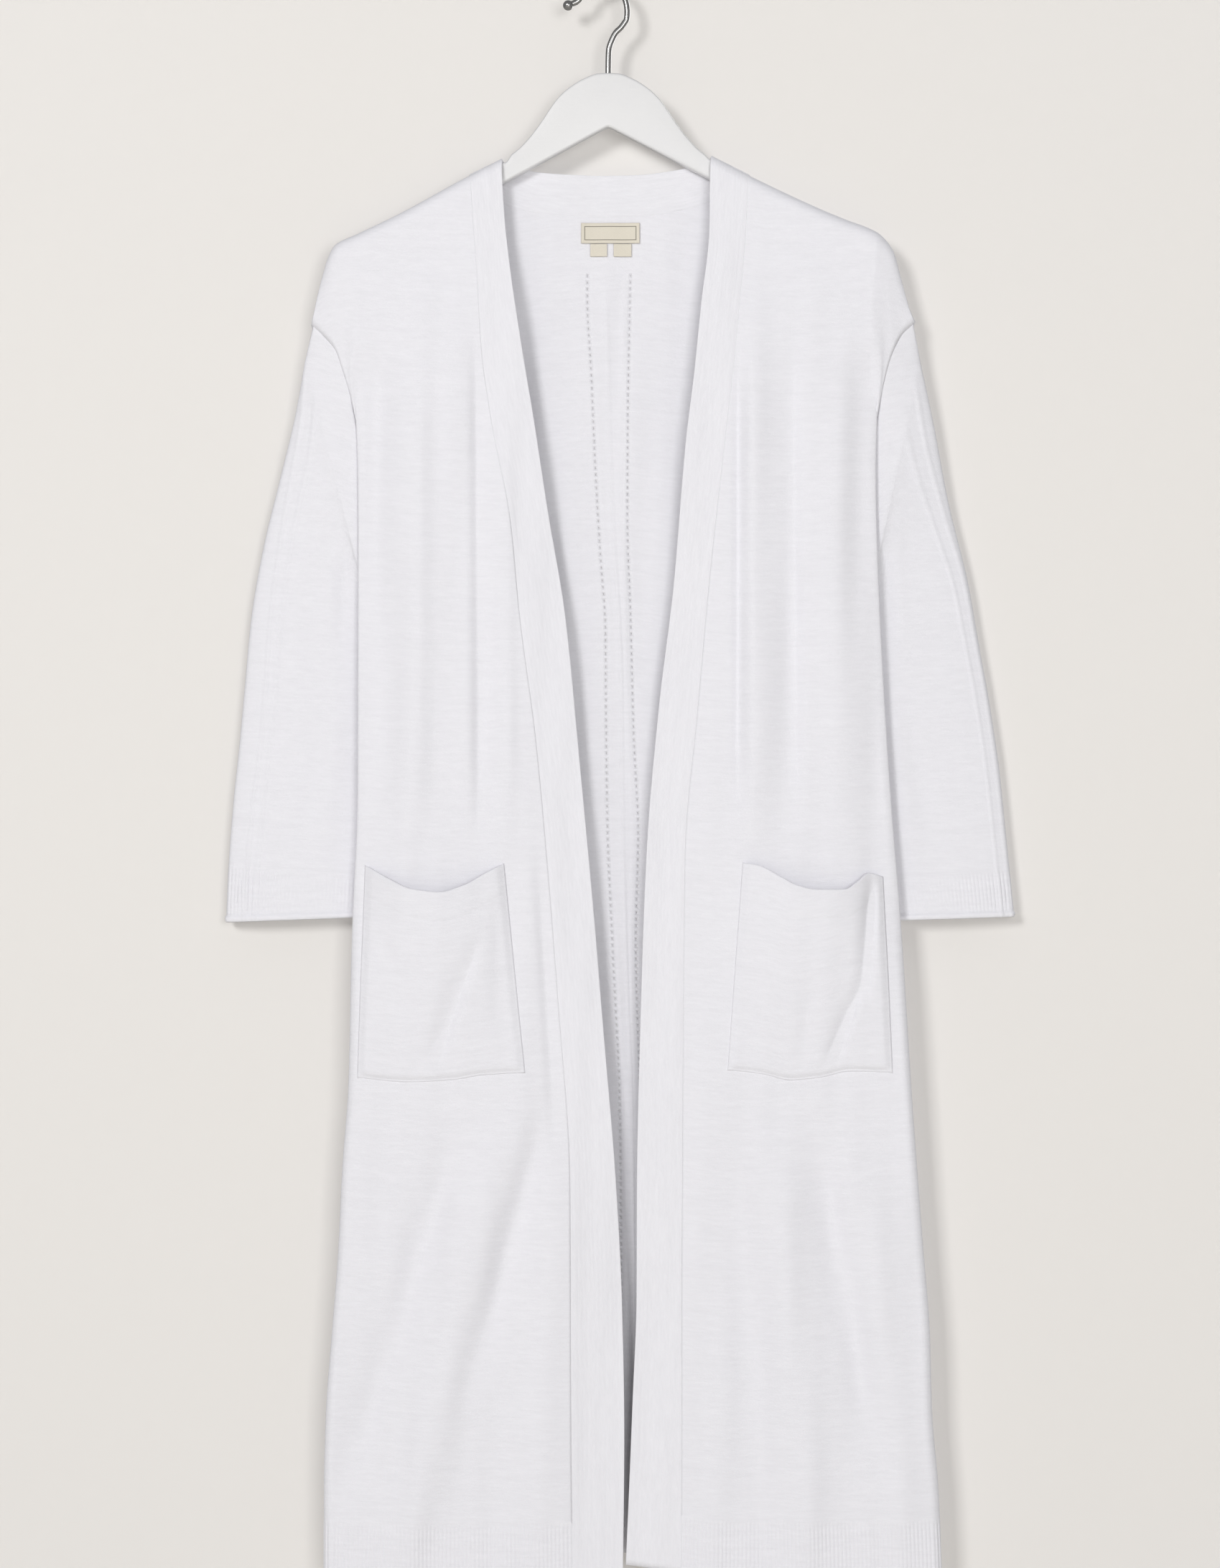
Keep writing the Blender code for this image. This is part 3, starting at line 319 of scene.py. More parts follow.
ARMHOLE = {
    "right": table("drop past front back",
                   (0.2710, 0.0316, -0.0006, 0.0006), (0.280, 0.0230, -0.0020, 0.0022),
                   (0.292, 0.0135, -0.0035, 0.0050), (0.310, 0.0090, -0.0036, 0.0070),
                   (0.335, 0.0030, -0.0034, 0.0080), (0.375, -0.0050, -0.0031, 0.0085),
                   (0.430, -0.0110, -0.0030, 0.0078), (0.475, -0.0120, -0.0030, 0.0042),
                   (0.520, -0.0120, -0.0023, -0.0011), (1.270, -0.0120, -0.0023, -0.0011)),
    "left": table("drop past front back",
                  (0.2690, 0.0280, -0.0006, 0.0006), (0.280, 0.0175, -0.0020, 0.0022),
                  (0.295, 0.0110, -0.0035, 0.0050), (0.315, 0.0060, -0.0036, 0.0070),
                  (0.340, 0.0010, -0.0034, 0.0080), (0.375, -0.0055, -0.0031, 0.0085),
                  (0.430, -0.0110, -0.0030, 0.0078), (0.472, -0.0120, -0.0030, 0.0042),
                  (0.520, -0.0120, -0.0023, -0.0011), (1.270, -0.0120, -0.0023, -0.0011)),
}
HEM = {
    "right": table("x drop", (-0.230, 1.262), (-0.120, 1.266), (-0.030, 1.266), (0.020, 1.264)),
    "left": table("x drop", (0.015, 1.2550), (0.050, 1.2600), (0.120, 1.2640), (0.275, 1.2610)),
    "back": table("x drop", (-0.230, 1.262), (-0.080, 1.257), (0.020, 1.250), (0.090, 1.256), (0.275, 1.261)),
}
FOLDS = {
    "right": table("top_x top_drop low_x low_drop left right height",
                   (-0.1010, 0.255, -0.0985, 0.705, 0.0050, 0.0160, -0.0050),
                   (-0.1450, 0.270, -0.1470, 0.720, 0.0180, 0.0105, 0.0044),
                   (-0.1780, 0.250, -0.1760, 0.690, 0.0100, 0.0120, -0.0032),
                   (-0.0770, 0.310, -0.0740, 0.700, 0.0100, 0.0060, 0.0020),
                   (-0.1030, 0.876, -0.2150, 1.230, 0.0160, 0.0140, -0.0060),
                   (-0.0750, 0.876, -0.1680, 1.300, 0.0200, 0.0200, 0.0075),
                   (-0.0540, 0.660, -0.0360, 0.960, 0.0045, 0.0110, -0.0032),
                   (-0.0370, 0.860, -0.1150, 1.150, 0.0110, 0.0140, -0.0058),
                   (-0.0300, 0.920, -0.0550, 1.300, 0.0160, 0.0160, 0.0045)),
    "left": table("top_x top_drop low_x low_drop left right height",
                  (0.1075, 0.262, 0.1065, 0.690, 0.0042, 0.0050, -0.0036),
                  (0.1190, 0.260, 0.1200, 0.720, 0.0070, 0.0130, 0.0050),
                  (0.1490, 0.250, 0.1530, 0.700, 0.0140, 0.0065, -0.0046),
                  (0.1850, 0.270, 0.1900, 0.690, 0.0200, 0.0150, 0.0038),
                  (0.1050, 0.878, 0.1280, 1.300, 0.0160, 0.0160, -0.0050),
                  (0.1300, 0.876, 0.1700, 1.300, 0.0200, 0.0200, 0.0070),
                  (0.1600, 0.872, 0.2280, 1.220, 0.0140, 0.0130, -0.0060),
                  (0.2000, 0.900, 0.2460, 1.300, 0.0180, 0.0180, 0.0050)),
    "back": table("top_x top_drop low_x low_drop left right height",
                  (-0.0750, 0.260, -0.0600, 1.300, 0.0220, 0.0200, 0.0060),
                  (-0.1350, 0.500, -0.1650, 1.300, 0.0200, 0.0200, 0.0055),
                  (0.0950, 0.240, 0.1050, 1.300, 0.0240, 0.0220, 0.0060),
                  (0.1600, 0.520, 0.2000, 1.300, 0.0220, 0.0200, 0.0050)),
}
FOLD_FADE = 0.110
EYELETS = {
    "right": table("drop x", (0.180, -0.0120), (0.248, -0.0126), (0.309, -0.0095), (0.379, -0.0065),
                   (0.453, -0.0023), (0.516, 0.0019), (0.584, 0.0023), (0.671, 0.0034), (0.770, 0.0074),
                   (0.891, 0.0129), (1.104, 0.0143), (1.300, 0.0150)),
    "left": table("drop x", (0.180, 0.0229), (0.264, 0.0212), (0.352, 0.0197), (0.421, 0.0194),
                  (0.506, 0.0221), (0.602, 0.0246), (0.678, 0.0281), (0.768, 0.0263), (0.891, 0.0300),
                  (1.104, 0.0325), (1.300, 0.0335)),
}
CREASES = {
    "long": table("drop x", (0.180, 0.0010), (0.351, 0.0051), (0.431, 0.0083), (0.495, 0.0120),
                  (0.548, 0.0143), (0.693, 0.0160), (0.799, 0.0192), (0.913, 0.0235), (1.104, 0.0245),
                  (1.300, 0.0250)),
    "short": table("drop x", (0.180, 0.0172), (0.348, 0.0172), (0.442, 0.0166), (0.506, 0.0190)),
}
CREASE_END = {"long": 1.300, "short": 0.500}
OPEN_EDGE_CLOSER = 0.0045
BACK_CLOSER = 0.0018
EYELET_PITCH = 0.0053
EYELET_SUNK = 0.0004
LABEL_FOOT = 0.2170
RIB_HIGH = 0.0440
RIB_PITCH = 0.0032
RIB_RISE = 0.00024


def from_shoulder(x, drop, side):
    """How far a point lies from the shoulder line: the least distance to its short straight stretches."""
    run = np.linspace(SHOULDER[side]["x"][0], SHOULDER[side]["x"][-1], 49)
    line = shoulder_drop(side, run)
    nearest = np.full(np.broadcast_shapes(np.shape(x), np.shape(drop)), 10.0)
    for x0, d0, x1, d1 in zip(run[:-1], line[:-1], run[1:], line[1:]):
        across, fall = x1 - x0, d1 - d0
        t = np.clip(((x - x0) * across + (drop - d0) * fall) / (across**2 + fall**2), 0.0, 1.0)
        nearest = np.minimum(nearest, np.hypot(x - x0 - t * across, drop - d0 - t * fall))
    return nearest


def folds(x, drop, which):
    """How far the folds stand out: each is a bell across its line, steeper on one side, that grows from its
    top and dies at its foot."""
    total = np.zeros(np.broadcast_shapes(np.shape(x), np.shape(drop)))
    for top_x, top, low_x, low, left, right, height in zip(*FOLDS[which].values()):
        off = x - (top_x + (low_x - top_x) * (drop - top) / (low - top))
        grown = ease((drop - top) / FOLD_FADE) * ease((low - drop) / FOLD_FADE)
        total += height * grown * np.exp(-(off / np.where(off < 0.0, left, right)) ** 2)
    return total


def unevenness(x, drop):
    """The small waves of hanging knit: three long sine waves that cross each other, under a millimetre."""
    return (0.00035 * np.sin(x / 0.0062 + drop / 0.051) + 0.00045 * np.sin(x / 0.0131 - drop / 0.034 + 1.0)
            + 0.00025 * np.sin(x / 0.0038 + drop / 0.120 + 2.0))


def hug(distance):
    """The cloth's bend over the wood: a quarter circle from the shoulder line, then straight down."""
    turn = 1.0 - np.clip(distance / HUG, 0.0, 1.0)
    return HUG * np.sqrt(1.0 - turn * turn)


def seam_space(x):
    """Half the space between front and back at the shoulder seam, wider past the hanger's tip."""
    return SEAM / 2 + (TIP_SPACE - SEAM / 2) * ease((np.abs(x) - 0.203) / 0.020)


def edge_reach(side, drop):
    """Distance from the middle to the armhole seam and, below it, to the side seam."""
    return read(SIDE[side], "fold", drop) + read(ARMHOLE[side], "past", drop)


def back_depth(x, drop):
    """Depth of the back: round the wood, the folds, the creases between the eyelets, and forward again
    behind the open front and to the side seam."""
    distance = np.minimum(from_shoulder(x, drop, "right"), from_shoulder(x, drop, "left"))
    settled = ease((distance - 0.03) / 0.05)
    depth = np.maximum(hug(distance), seam_space(x)) + 0.002 * ease((distance - 0.03) / 0.10)
    depth = depth + (folds(x, drop, "back") + unevenness(x, drop)) * settled
    depth = depth - BACK_CLOSER * ease((drop - 0.24) / 0.20) * np.exp(-((x - 0.020) / 0.080) ** 2)
    for which, rows in CREASES.items():
        crease = x - read(rows, "x", np.minimum(drop, CREASE_END[which]))
        grown = ease((drop - 0.225) / 0.05) * ease((CREASE_END[which] - drop) / 0.04)
        depth = depth - 0.0007 * np.exp(-(crease / 0.0009) ** 2) * grown
    below = ease((drop - LABEL_FOOT) / 0.020)
    for rows in EYELETS.values():
        off = x - read(rows, "x", drop)
        lips = np.exp(-((np.abs(off) - 0.0042) / 0.0014) ** 2)
        depth = depth + EYELET_SUNK * below * (np.exp(-(off / 0.0022) ** 2) - 0.7 * lips)
    for side in SIGN:
        past = SIGN[side] * x - edge_reach(side, drop) + 0.034
        edge = read(ARMHOLE[side], "back", drop)
        depth = depth + (edge - depth) * ease(past / 0.034) * ease((drop - 0.262) / 0.02)
    return depth


def rows_down(length, step):
    """Rows from a shoulder to a hem, as shares of the length: close together over the wood, then even."""
    close = np.array([0.0, 0.0002, 0.0006, 0.0013, 0.0023, 0.0036, 0.0052, 0.0070, 0.0090, 0.0115, 0.0150,
                      0.0190, 0.0235])
    even = np.linspace(0.0280, length, int(round((length - 0.0280) / step)) + 1)
    return np.concatenate([close, even]) / length


def ribs(along, rise=RIB_RISE, pitch=RIB_PITCH):
    """Height of ribs over the knit's middle: a rounded wave across, flat topped, narrow between."""
    return rise * np.tanh(1.6 * np.cos(2 * np.pi * along / pitch))


def normals(grid):
    """Unit normals of a grid, the cross product of its two slopes."""
    normal = np.cross(np.gradient(grid, axis=0), np.gradient(grid, axis=1))
    return normal / np.maximum(np.linalg.norm(normal, axis=2, keepdims=True), 1e-12)


def knit_layer(panel, uv, rib=None, rib_uv=None, eyelets=None, block=(1, 1), size=(0.17, 0.17)):
    """Vertices, uv and faces of one layer of knit. panel is its grid of points. rib is a finer grid that
    carries it on: each last cell of the panel becomes a face that takes in the rib's first points. eyelets
    are the cells whose block is cut by a round hole: four faces run from its sides to a ring of 12 points."""
    rows, columns = panel.shape[:2]
    vertices, coordinates = [panel.reshape(-1, 3)], [uv.reshape(-1, 2)]
    cells = np.ones((rows - 1, columns - 1), dtype=bool)
    faces, count = [], rows * columns
    if eyelets is not None and len(eyelets):
        r, c = np.array(eyelets).T
        for down in range(block[0]):
            for across in range(block[1]):
                cells[r + down, c + across] = False
        turn = np.radians(-135.0 + 30.0 * np.arange(12))[None, :, None]
        u, v = 0.5 + size[1] * np.cos(turn), 0.5 + size[0] * np.sin(turn)

        def ring(grid):
            a, b = grid[r, c][:, None], grid[r, c + block[1]][:, None]
            d, e = grid[r + block[0], c][:, None], grid[r + block[0], c + block[1]][:, None]
            return ((a * (1 - u) + b * u) * (1 - v) + (d * (1 - u) + e * u) * v).reshape(-1, grid.shape[-1])

        vertices.append(ring(panel))
        coordinates.append(ring(uv))
        first = count + 12 * np.arange(len(r))
        across, down = np.arange(block[1] + 1), np.arange(block[0] + 1)
        sides = [(r[:, None] * columns + c[:, None] + across),
                 ((r[:, None] + down) * columns + c[:, None] + block[1]),
                 ((r[:, None] + block[0]) * columns + c[:, None] + across[::-1]),
                 ((r[:, None] + down[::-1]) * columns + c[:, None])]
        for k, edge in enumerate(sides):
            arc = first[:, None] + (3 * k + np.array([3, 2, 1, 0])) % 12
            faces += np.concatenate([edge, arc], axis=1).tolist()
        count += 12 * len(r)
    if rib is not None:
        cells[-1] = False
        each = (rib.shape[1] - 1) // (columns - 1)
        last = (rows - 2) * columns + np.arange(columns - 1)[:, None]
        join = count + np.arange(columns - 1)[:, None] * each + np.arange(each, -1, -1)
        faces += np.concatenate([last, last + 1, join], axis=1).tolist()
        faces += grid_faces(*rib.shape[:2], start=count).tolist()
        vertices.append(rib.reshape(-1, 3))
        coordinates.append(rib_uv.reshape(-1, 2))
    faces += grid_faces(rows, columns)[cells.ravel()].tolist()
    return np.concatenate(vertices), np.concatenate(coordinates), faces


def jersey(name, colour, shade, streaks=1.0):
    """Slub jersey. Along each course the yarn swells and thins, which shows as short lighter and darker
    streaks; under them lie the fine wales and courses of the knit, and loose fibres give a soft sheen."""
    cloth = new_material(name, colour, 0.92)
    shader = cloth.node_tree.nodes["Principled BSDF"]
    shader.inputs["Sheen Weight"].default_value = 0.22
    shader.inputs["Sheen Roughness"].default_value = 0.55
    shader.inputs["Specular IOR Level"].default_value = 0.20
    yarn = add(cloth, "ShaderNodeUVMap", {"uv_map": "yarn"}).outputs[0]
    course = add(cloth, "ShaderNodeMapping", Vector=yarn, Scale=(66.0, 440.0, 1.0)).outputs[0]
    slub = add(cloth, "ShaderNodeTexNoise", Vector=course, Scale=1.0, Detail=4.0,
               Roughness=0.62).outputs["Fac"]
    broad = add(cloth, "ShaderNodeMapping", Vector=yarn, Scale=(16.0, 150.0, 1.0)).outputs[0]
    bars = add(cloth, "ShaderNodeTexNoise", Vector=broad, Scale=1.0, Detail=3.0).outputs["Fac"]
    both = add(cloth, "ShaderNodeMix", {"data_type": "FLOAT"}, Factor=0.35, n2=slub, n3=bars).outputs[0]
    spread = add(cloth, "ShaderNodeMapRange", Value=both, n1=0.36, n2=0.64).outputs[0]
    tint = add(cloth, "ShaderNodeMix", {"data_type": "RGBA"}, Factor=spread,
               n6=(*shade, 1.0), n7=(*colour, 1.0))
    plug(cloth, tint.outputs[2], "Base Color")
    stitches = add(cloth, "ShaderNodeMapping", Vector=yarn, Scale=(640.0, 900.0, 1.0)).outputs[0]
    loops = add(cloth, "ShaderNodeTexNoise", Vector=stitches, Scale=1.0, Detail=2.0).outputs["Fac"]
    relief = add(cloth, "ShaderNodeMath", {"operation": "MULTIPLY_ADD"}, n0=slub, n1=1.6 * streaks,
                 n2=loops).outputs[0]
    bump = add(cloth, "ShaderNodeBump", Height=relief, Strength=0.28, Distance=0.0007)
    plug(cloth, bump.outputs[0], "Normal")
    return cloth


def top_of_back(x):
    """Drop of the back's top edge: the two shoulder lines, and between them the seam under the neck band."""
    neck = smooth(x, NECK["seam_x"], NECK["seam_drop"])
    right, left = shoulder_drop("right", x), shoulder_drop("left", x)
    return np.where(x < NECK_POINT["right"], right, np.where(x > NECK_POINT["left"], left, neck))


def back_grid():
    """The back between nine key lines: side edges, hanger tips, neck points and both sides of each eyelet
    row. Between two lines a column keeps its share of the top edge at the top and an even share below."""
    key_top = [-0.2316, -0.2125, NECK_POINT["right"], -0.0145, -0.0095, 0.0204, 0.0254, NECK_POINT["left"],
               0.2180, 0.2475]
    counts = [12, 34, 34, 1, 18, 1, 34, 34, 12]
    length = 1.066
    share = rows_down(length, EYELET_PITCH)
    hem = HEM["back"]
    lines = []
    for k, top_x in enumerate(key_top):
        side = "right" if top_x < 0 else "left"
        top = top_of_back(np.array(top_x))
        drop = top + share * (1.255 - top)
        right_edge = -edge_reach("right", drop)
        left_edge = edge_reach("left", drop)
        eye_r, eye_l = read(EYELETS["right"], "x", drop), read(EYELETS["left"], "x", drop)
        lines.append({0: right_edge, 1: right_edge + 0.040 * (eye_r - right_edge), 2: right_edge + 0.52 * (
            eye_r - right_edge), 3: eye_r - 0.0025, 4: eye_r + 0.0025, 5: eye_l - 0.0025, 6: eye_l + 0.0025,
            7: left_edge + 0.52 * (eye_l - left_edge), 8: left_edge + 0.040 * (eye_l - left_edge),
            9: left_edge}[k])
        settle = 1.0 - ease(share / 0.16) if k in (1, 2, 7, 8) else np.exp(-share * length / 0.02)
        lines[-1] = lines[-1] + (top_x - lines[-1]) * settle
    tops = np.concatenate([np.linspace(a, b, n, endpoint=False)
                           for a, b, n in zip(key_top[:-1], key_top[1:], counts)] + [[key_top[-1]]])
    x = np.concatenate([a[:, None] + (b - a)[:, None] * np.arange(n) / n
                        for a, b, n in zip(lines[:-1], lines[1:], counts)] + [lines[-1][:, None]], axis=1)
    top = top_of_back(tops)
    low = smooth(x[-1], hem["x"], hem["drop"])
    drop = top + share[:, None] * (low - top)
    return x, drop, counts, share


def split_rib(x, drop, each, high):
    """The last stretch of a panel as a finer grid: each column in so many, and rows 4 mm apart."""
    first = int(np.argmin(np.abs(drop[-1, 0] - drop[:, 0] - high)))
    columns = np.linspace(0, x.shape[1] - 1, (x.shape[1] - 1) * each + 1)
    left = np.minimum(columns.astype(int), x.shape[1] - 2)
    share = columns - left
    fine = [g[first:, left] * (1 - share) + g[first:, left + 1] * share for g in (x, drop)]
    return first, fine[0], fine[1]


def across_and_down(grid):
    """Distances along a grid's rows from its first column, and down its columns from its last row, in
    metres, for the yarn map."""
    across = np.concatenate([np.zeros((len(grid), 1)),
                             np.cumsum(np.linalg.norm(np.diff(grid, axis=1), axis=2), axis=1)], axis=1)
    down = np.concatenate([np.zeros((1, grid.shape[1])),
                           np.cumsum(np.linalg.norm(np.diff(grid, axis=0), axis=2), axis=0)])
    return np.stack([across, down - down[-1:]], axis=-1)


def ribbed_panel(x, drop, depth, each, **holes):
    """A panel and its ribbed hem. depth gives y at x and drop; the ribs stand up and down from it."""
    first, rib_x, rib_drop = split_rib(x, drop, each, RIB_HIGH)
    panel = points(x, depth(x, drop), drop)
    uv = across_and_down(panel)
    rib = points(rib_x, depth(rib_x, rib_drop), rib_drop)
    rib_uv = across_and_down(rib)
    grown = ease((rib_drop - rib_drop[0]) / 0.004)
    rib = rib + normals(rib) * (ribs(rib_uv[..., 0]) * grown)[..., None]
    return knit_layer(panel[:first + 1], uv[:first + 1], rib, rib_uv, **holes)


white_jersey = jersey("knit", (0.831, 0.824, 0.865), (0.792, 0.785, 0.825))
back_x, back_drop, back_counts, back_share = back_grid()
eyelet_rows = np.arange(16, len(back_x) - 12)
eyelet_columns = (sum(back_counts[:3]), sum(back_counts[:5]))
holes = [(r, c) for c in eyelet_columns for r in eyelet_rows]
vertices, uv, faces = ribbed_panel(back_x, back_drop, back_depth, 4, eyelets=holes, size=(0.130, 0.050))
back_piece = make_piece("knit_back", vertices, faces, white_jersey, "back", uv, WALL)

# The two fronts: panels of the same jersey, sewn to the back at the shoulders and sides and to the sleeves at
# the armholes. Each turns back in a soft fold at the side and falls in the creases that hanging gives it.
FOLD_TURN = 0.0060
BAND = {
    "right": table("drop edge seam",
                   (0.150, -0.0806, -0.1050), (0.187, -0.0783, -0.1030), (0.227, -0.0738, -0.1000),
                   (0.290, -0.0646, -0.0965), (0.350, -0.0545, -0.0880), (0.420, -0.0440, -0.0745),
                   (0.500, -0.0305, -0.0665), (0.600, -0.0205, -0.0535), (0.700, -0.0110, -0.0440),
                   (0.800, -0.0025, -0.0360), (0.950, 0.0098, -0.0262), (1.050, 0.0150, -0.0258),
                   (1.150, 0.0168, -0.0255), (1.266, 0.0155, -0.0240)),
    "left": table("drop edge seam",
                  (0.150, 0.0848, 0.1149), (0.195, 0.0843, 0.1130), (0.255, 0.0778, 0.1078),
                  (0.310, 0.0722, 0.1023), (0.365, 0.0656, 0.0960), (0.475, 0.0564, 0.0842),
                  (0.575, 0.0443, 0.0751), (0.690, 0.0345, 0.0648), (0.810, 0.0300, 0.0632),
                  (0.945, 0.0269, 0.0626), (1.040, 0.0265, 0.0620), (1.133, 0.0230, 0.0620),
                  (1.196, 0.0205, 0.0618), (1.264, 0.0175, 0.0614)),
}
TIP = {"right": -0.2125, "left": 0.2180}
SIDE_TAPER = 0.045
SIDE_BACK = 0.0065


def front_depth(x, drop, side):
    """Depth of a front: round the wood, a little further out below it, then the folds. Beside the sleeve it
    comes back towards the armhole seam, and its open edge hangs closer to the back."""
    distance = from_shoulder(x, drop, side)
    beside = ease((SIGN[side] * x - read(SIDE[side], "fold", drop)) / SIDE_TAPER + 1.0)
    beside = beside * ease((drop - 0.275) / 0.050) * ease((0.800 - drop) / 0.080)
    hang = 0.0035 * ease((distance - 0.03) / 0.10) + 0.0035 * ease((drop - 0.45) / 0.40)
    settled = ease((distance - 0.03) / 0.05)
    from_edge = np.abs(x - read(BAND[side], "edge", drop))
    closer = OPEN_EDGE_CLOSER * (1.0 - ease(from_edge / 0.070)) * ease((drop - 0.26) / 0.30)
    return (-np.maximum(hug(distance), seam_space(x)) - hang + SIDE_BACK * beside + closer
            - (folds(x, drop, side) + unevenness(x, drop + 0.4)) * settled)


def hem_drop(side, x):
    """Drop of a front's hem at x."""
    return smooth(x, HEM[side]["x"], HEM[side]["drop"])


def front_grid(side):
    """A front from the band's seam to the side fold, then a quarter turn back to the armhole and side seam,
    which is a curve of the second degree through the fold's outer line."""
    sign = SIGN[side]
    share = rows_down(1.110, 0.0044)
    columns = np.linspace(0.0, 1.0, 92)
    top_x = NECK_POINT[side] + columns * (TIP[side] - NECK_POINT[side])
    top = shoulder_drop(side, top_x)
    seam_end = BAND[side]["seam"][-1]
    fold_end = sign * (SIDE[side]["fold"][-1] - FOLD_TURN)
    low = hem_drop(side, seam_end + columns * (fold_end - seam_end))
    drop = top + share[:, None] * (low - top)
    seam_x = read(BAND[side], "seam", drop[:, 0])
    seam_x = seam_x + (NECK_POINT[side] - seam_x) * np.exp(-share * 1.11 / 0.006)
    settled = ease(share / 0.05)
    fold_x = sign * (read(SIDE[side], "fold", drop[:, -1]) - FOLD_TURN)
    fold_x = fold_x + (1.0 - settled) * (TIP[side] - fold_x)
    x = seam_x[:, None] + columns * (fold_x - seam_x)[:, None]
    main = points(x, front_depth(x, drop, side), drop)

    line = SHOULDER[side]
    end_x, end_drop = line["x"][-1], line["drop"][-1]
    edge_drop = end_drop + share * (drop[-1, -1] - end_drop)
    edge = points(sign * edge_reach(side, edge_drop), read(ARMHOLE[side], "front", edge_drop), edge_drop)
    start = main[:, -1]
    control = (start + edge) / 2
    control[:, 0] = fold_x + sign * 2 * FOLD_TURN
    control[:, 2] = start[:, 2] + 0.25 * (edge[:, 2] - start[:, 2])
    t = np.linspace(0, 1, 13)[1:]
    turn = (((1 - t) ** 2)[None, :, None] * start[:, None] + (t * t)[None, :, None] * edge[:, None]
            + (2 * t * (1 - t))[None, :, None] * control[:, None])
    over_x = TIP[side] + t * (end_x - TIP[side])
    over = points(over_x, -seam_space(over_x), shoulder_drop(side, over_x))
    turn = turn + (1.0 - settled)[:, None, None] * (over - turn[0])
    return np.concatenate([main, turn], axis=1)


def split_points(grid, each, high):
    """The last stretch of a grid of points, with each column in so many."""
    first = int(np.argmin(np.abs(grid[:, 0, 2] - grid[-1, 0, 2] - high)))
    columns = np.linspace(0, grid.shape[1] - 1, (grid.shape[1] - 1) * each + 1)
    left = np.minimum(columns.astype(int), grid.shape[1] - 2)
    share = (columns - left)[None, :, None]
    return first, grid[first:, left] * (1 - share) + grid[first:, left + 1] * share


for side in SIGN:
    grid = front_grid(side)
    uv = across_and_down(grid)
    first, rib = split_points(grid, 4, RIB_HIGH)
    rib_uv = across_and_down(rib)
    grown = ease((rib[:1, :, 2] - rib[..., 2]) / 0.004)
    rib = rib + normals(rib) * (ribs(rib_uv[..., 0]) * grown)[..., None]
    vertices, uv, faces = knit_layer(grid[:first + 1], uv[:first + 1], rib, rib_uv)
    piece = make_piece("knit_front_" + side, vertices, faces, white_jersey, "front_" + side, uv, WALL)

# The sleeves: straight tubes of jersey, set in at dropped armholes and ending in a ribbed cuff with a fine
# rolled edge. Two raised wales run down the outside of each. They hang flat, a little behind the fronts.
LAP = 0.0026
ARMHOLE_LAP = 0.0018
ARMHOLE_STEP = 0.0002
UNDERARM = {"right": 0.475, "left": 0.472}
SLEEVE = {
    "right": table("row outer outer_drop inner inner_drop middle half",
                   (1, 0.2370, 0.300, 0.1885, 0.4880, 0.0062, 0.0065),
                   (2, 0.2445, 0.340, 0.1820, 0.503, 0.0105, 0.0080),
                   (3, 0.2580, 0.395, 0.1750, 0.521, 0.0145, 0.0090),
                   (4, 0.2712, 0.449, 0.1690, 0.544, 0.0160, 0.0095),
                   (5, 0.2809, 0.5055, 0.1645, 0.569, 0.0165, 0.0095),
                   (6, 0.2855, 0.555, 0.1640, 0.602, 0.0165, 0.0095),
                   (7, 0.2901, 0.605, 0.1670, 0.639, 0.0165, 0.0090),
                   (8, 0.2947, 0.649, 0.1740, 0.674, 0.0160, 0.0090),
                   (9, 0.2985, 0.699, 0.1800, 0.708, 0.0155, 0.0085),
                   (10, 0.3005, 0.7465, 0.1870, 0.7420, 0.0150, 0.0085)),
    "left": table("row outer outer_drop inner inner_drop middle half",
                  (1, 0.2520, 0.300, 0.2125, 0.4850, 0.0062, 0.0065),
                  (2, 0.2629, 0.349, 0.2060, 0.500, 0.0105, 0.0080),
                  (3, 0.2752, 0.412, 0.1985, 0.518, 0.0145, 0.0090),
                  (4, 0.2905, 0.474, 0.1910, 0.543, 0.0160, 0.0095),
                  (5, 0.2995, 0.524, 0.1855, 0.567, 0.0165, 0.0095),
                  (6, 0.3084, 0.574, 0.1855, 0.601, 0.0165, 0.0095),
                  (7, 0.3158, 0.624, 0.1895, 0.640, 0.0165, 0.0090),
                  (8, 0.3204, 0.668, 0.1970, 0.678, 0.0160, 0.0090),
                  (9, 0.3240, 0.705, 0.2055, 0.710, 0.0155, 0.0085),
                  (10, 0.3275, 0.7420, 0.2140, 0.7455, 0.0150, 0.0085)),
}
WALES = {
    "right": table("row share", (0, 0.08), (1, 0.09), (2, 0.12), (3, 0.13), (4, 0.15), (6, 0.165),
                   (10, 0.156)),
    "left": table("row share", (0, 0.24), (1, 0.20), (2, 0.18), (3, 0.11), (4, 0.065), (6, 0.05),
                  (10, 0.05)),
}
CUFF_ROW = 9.05


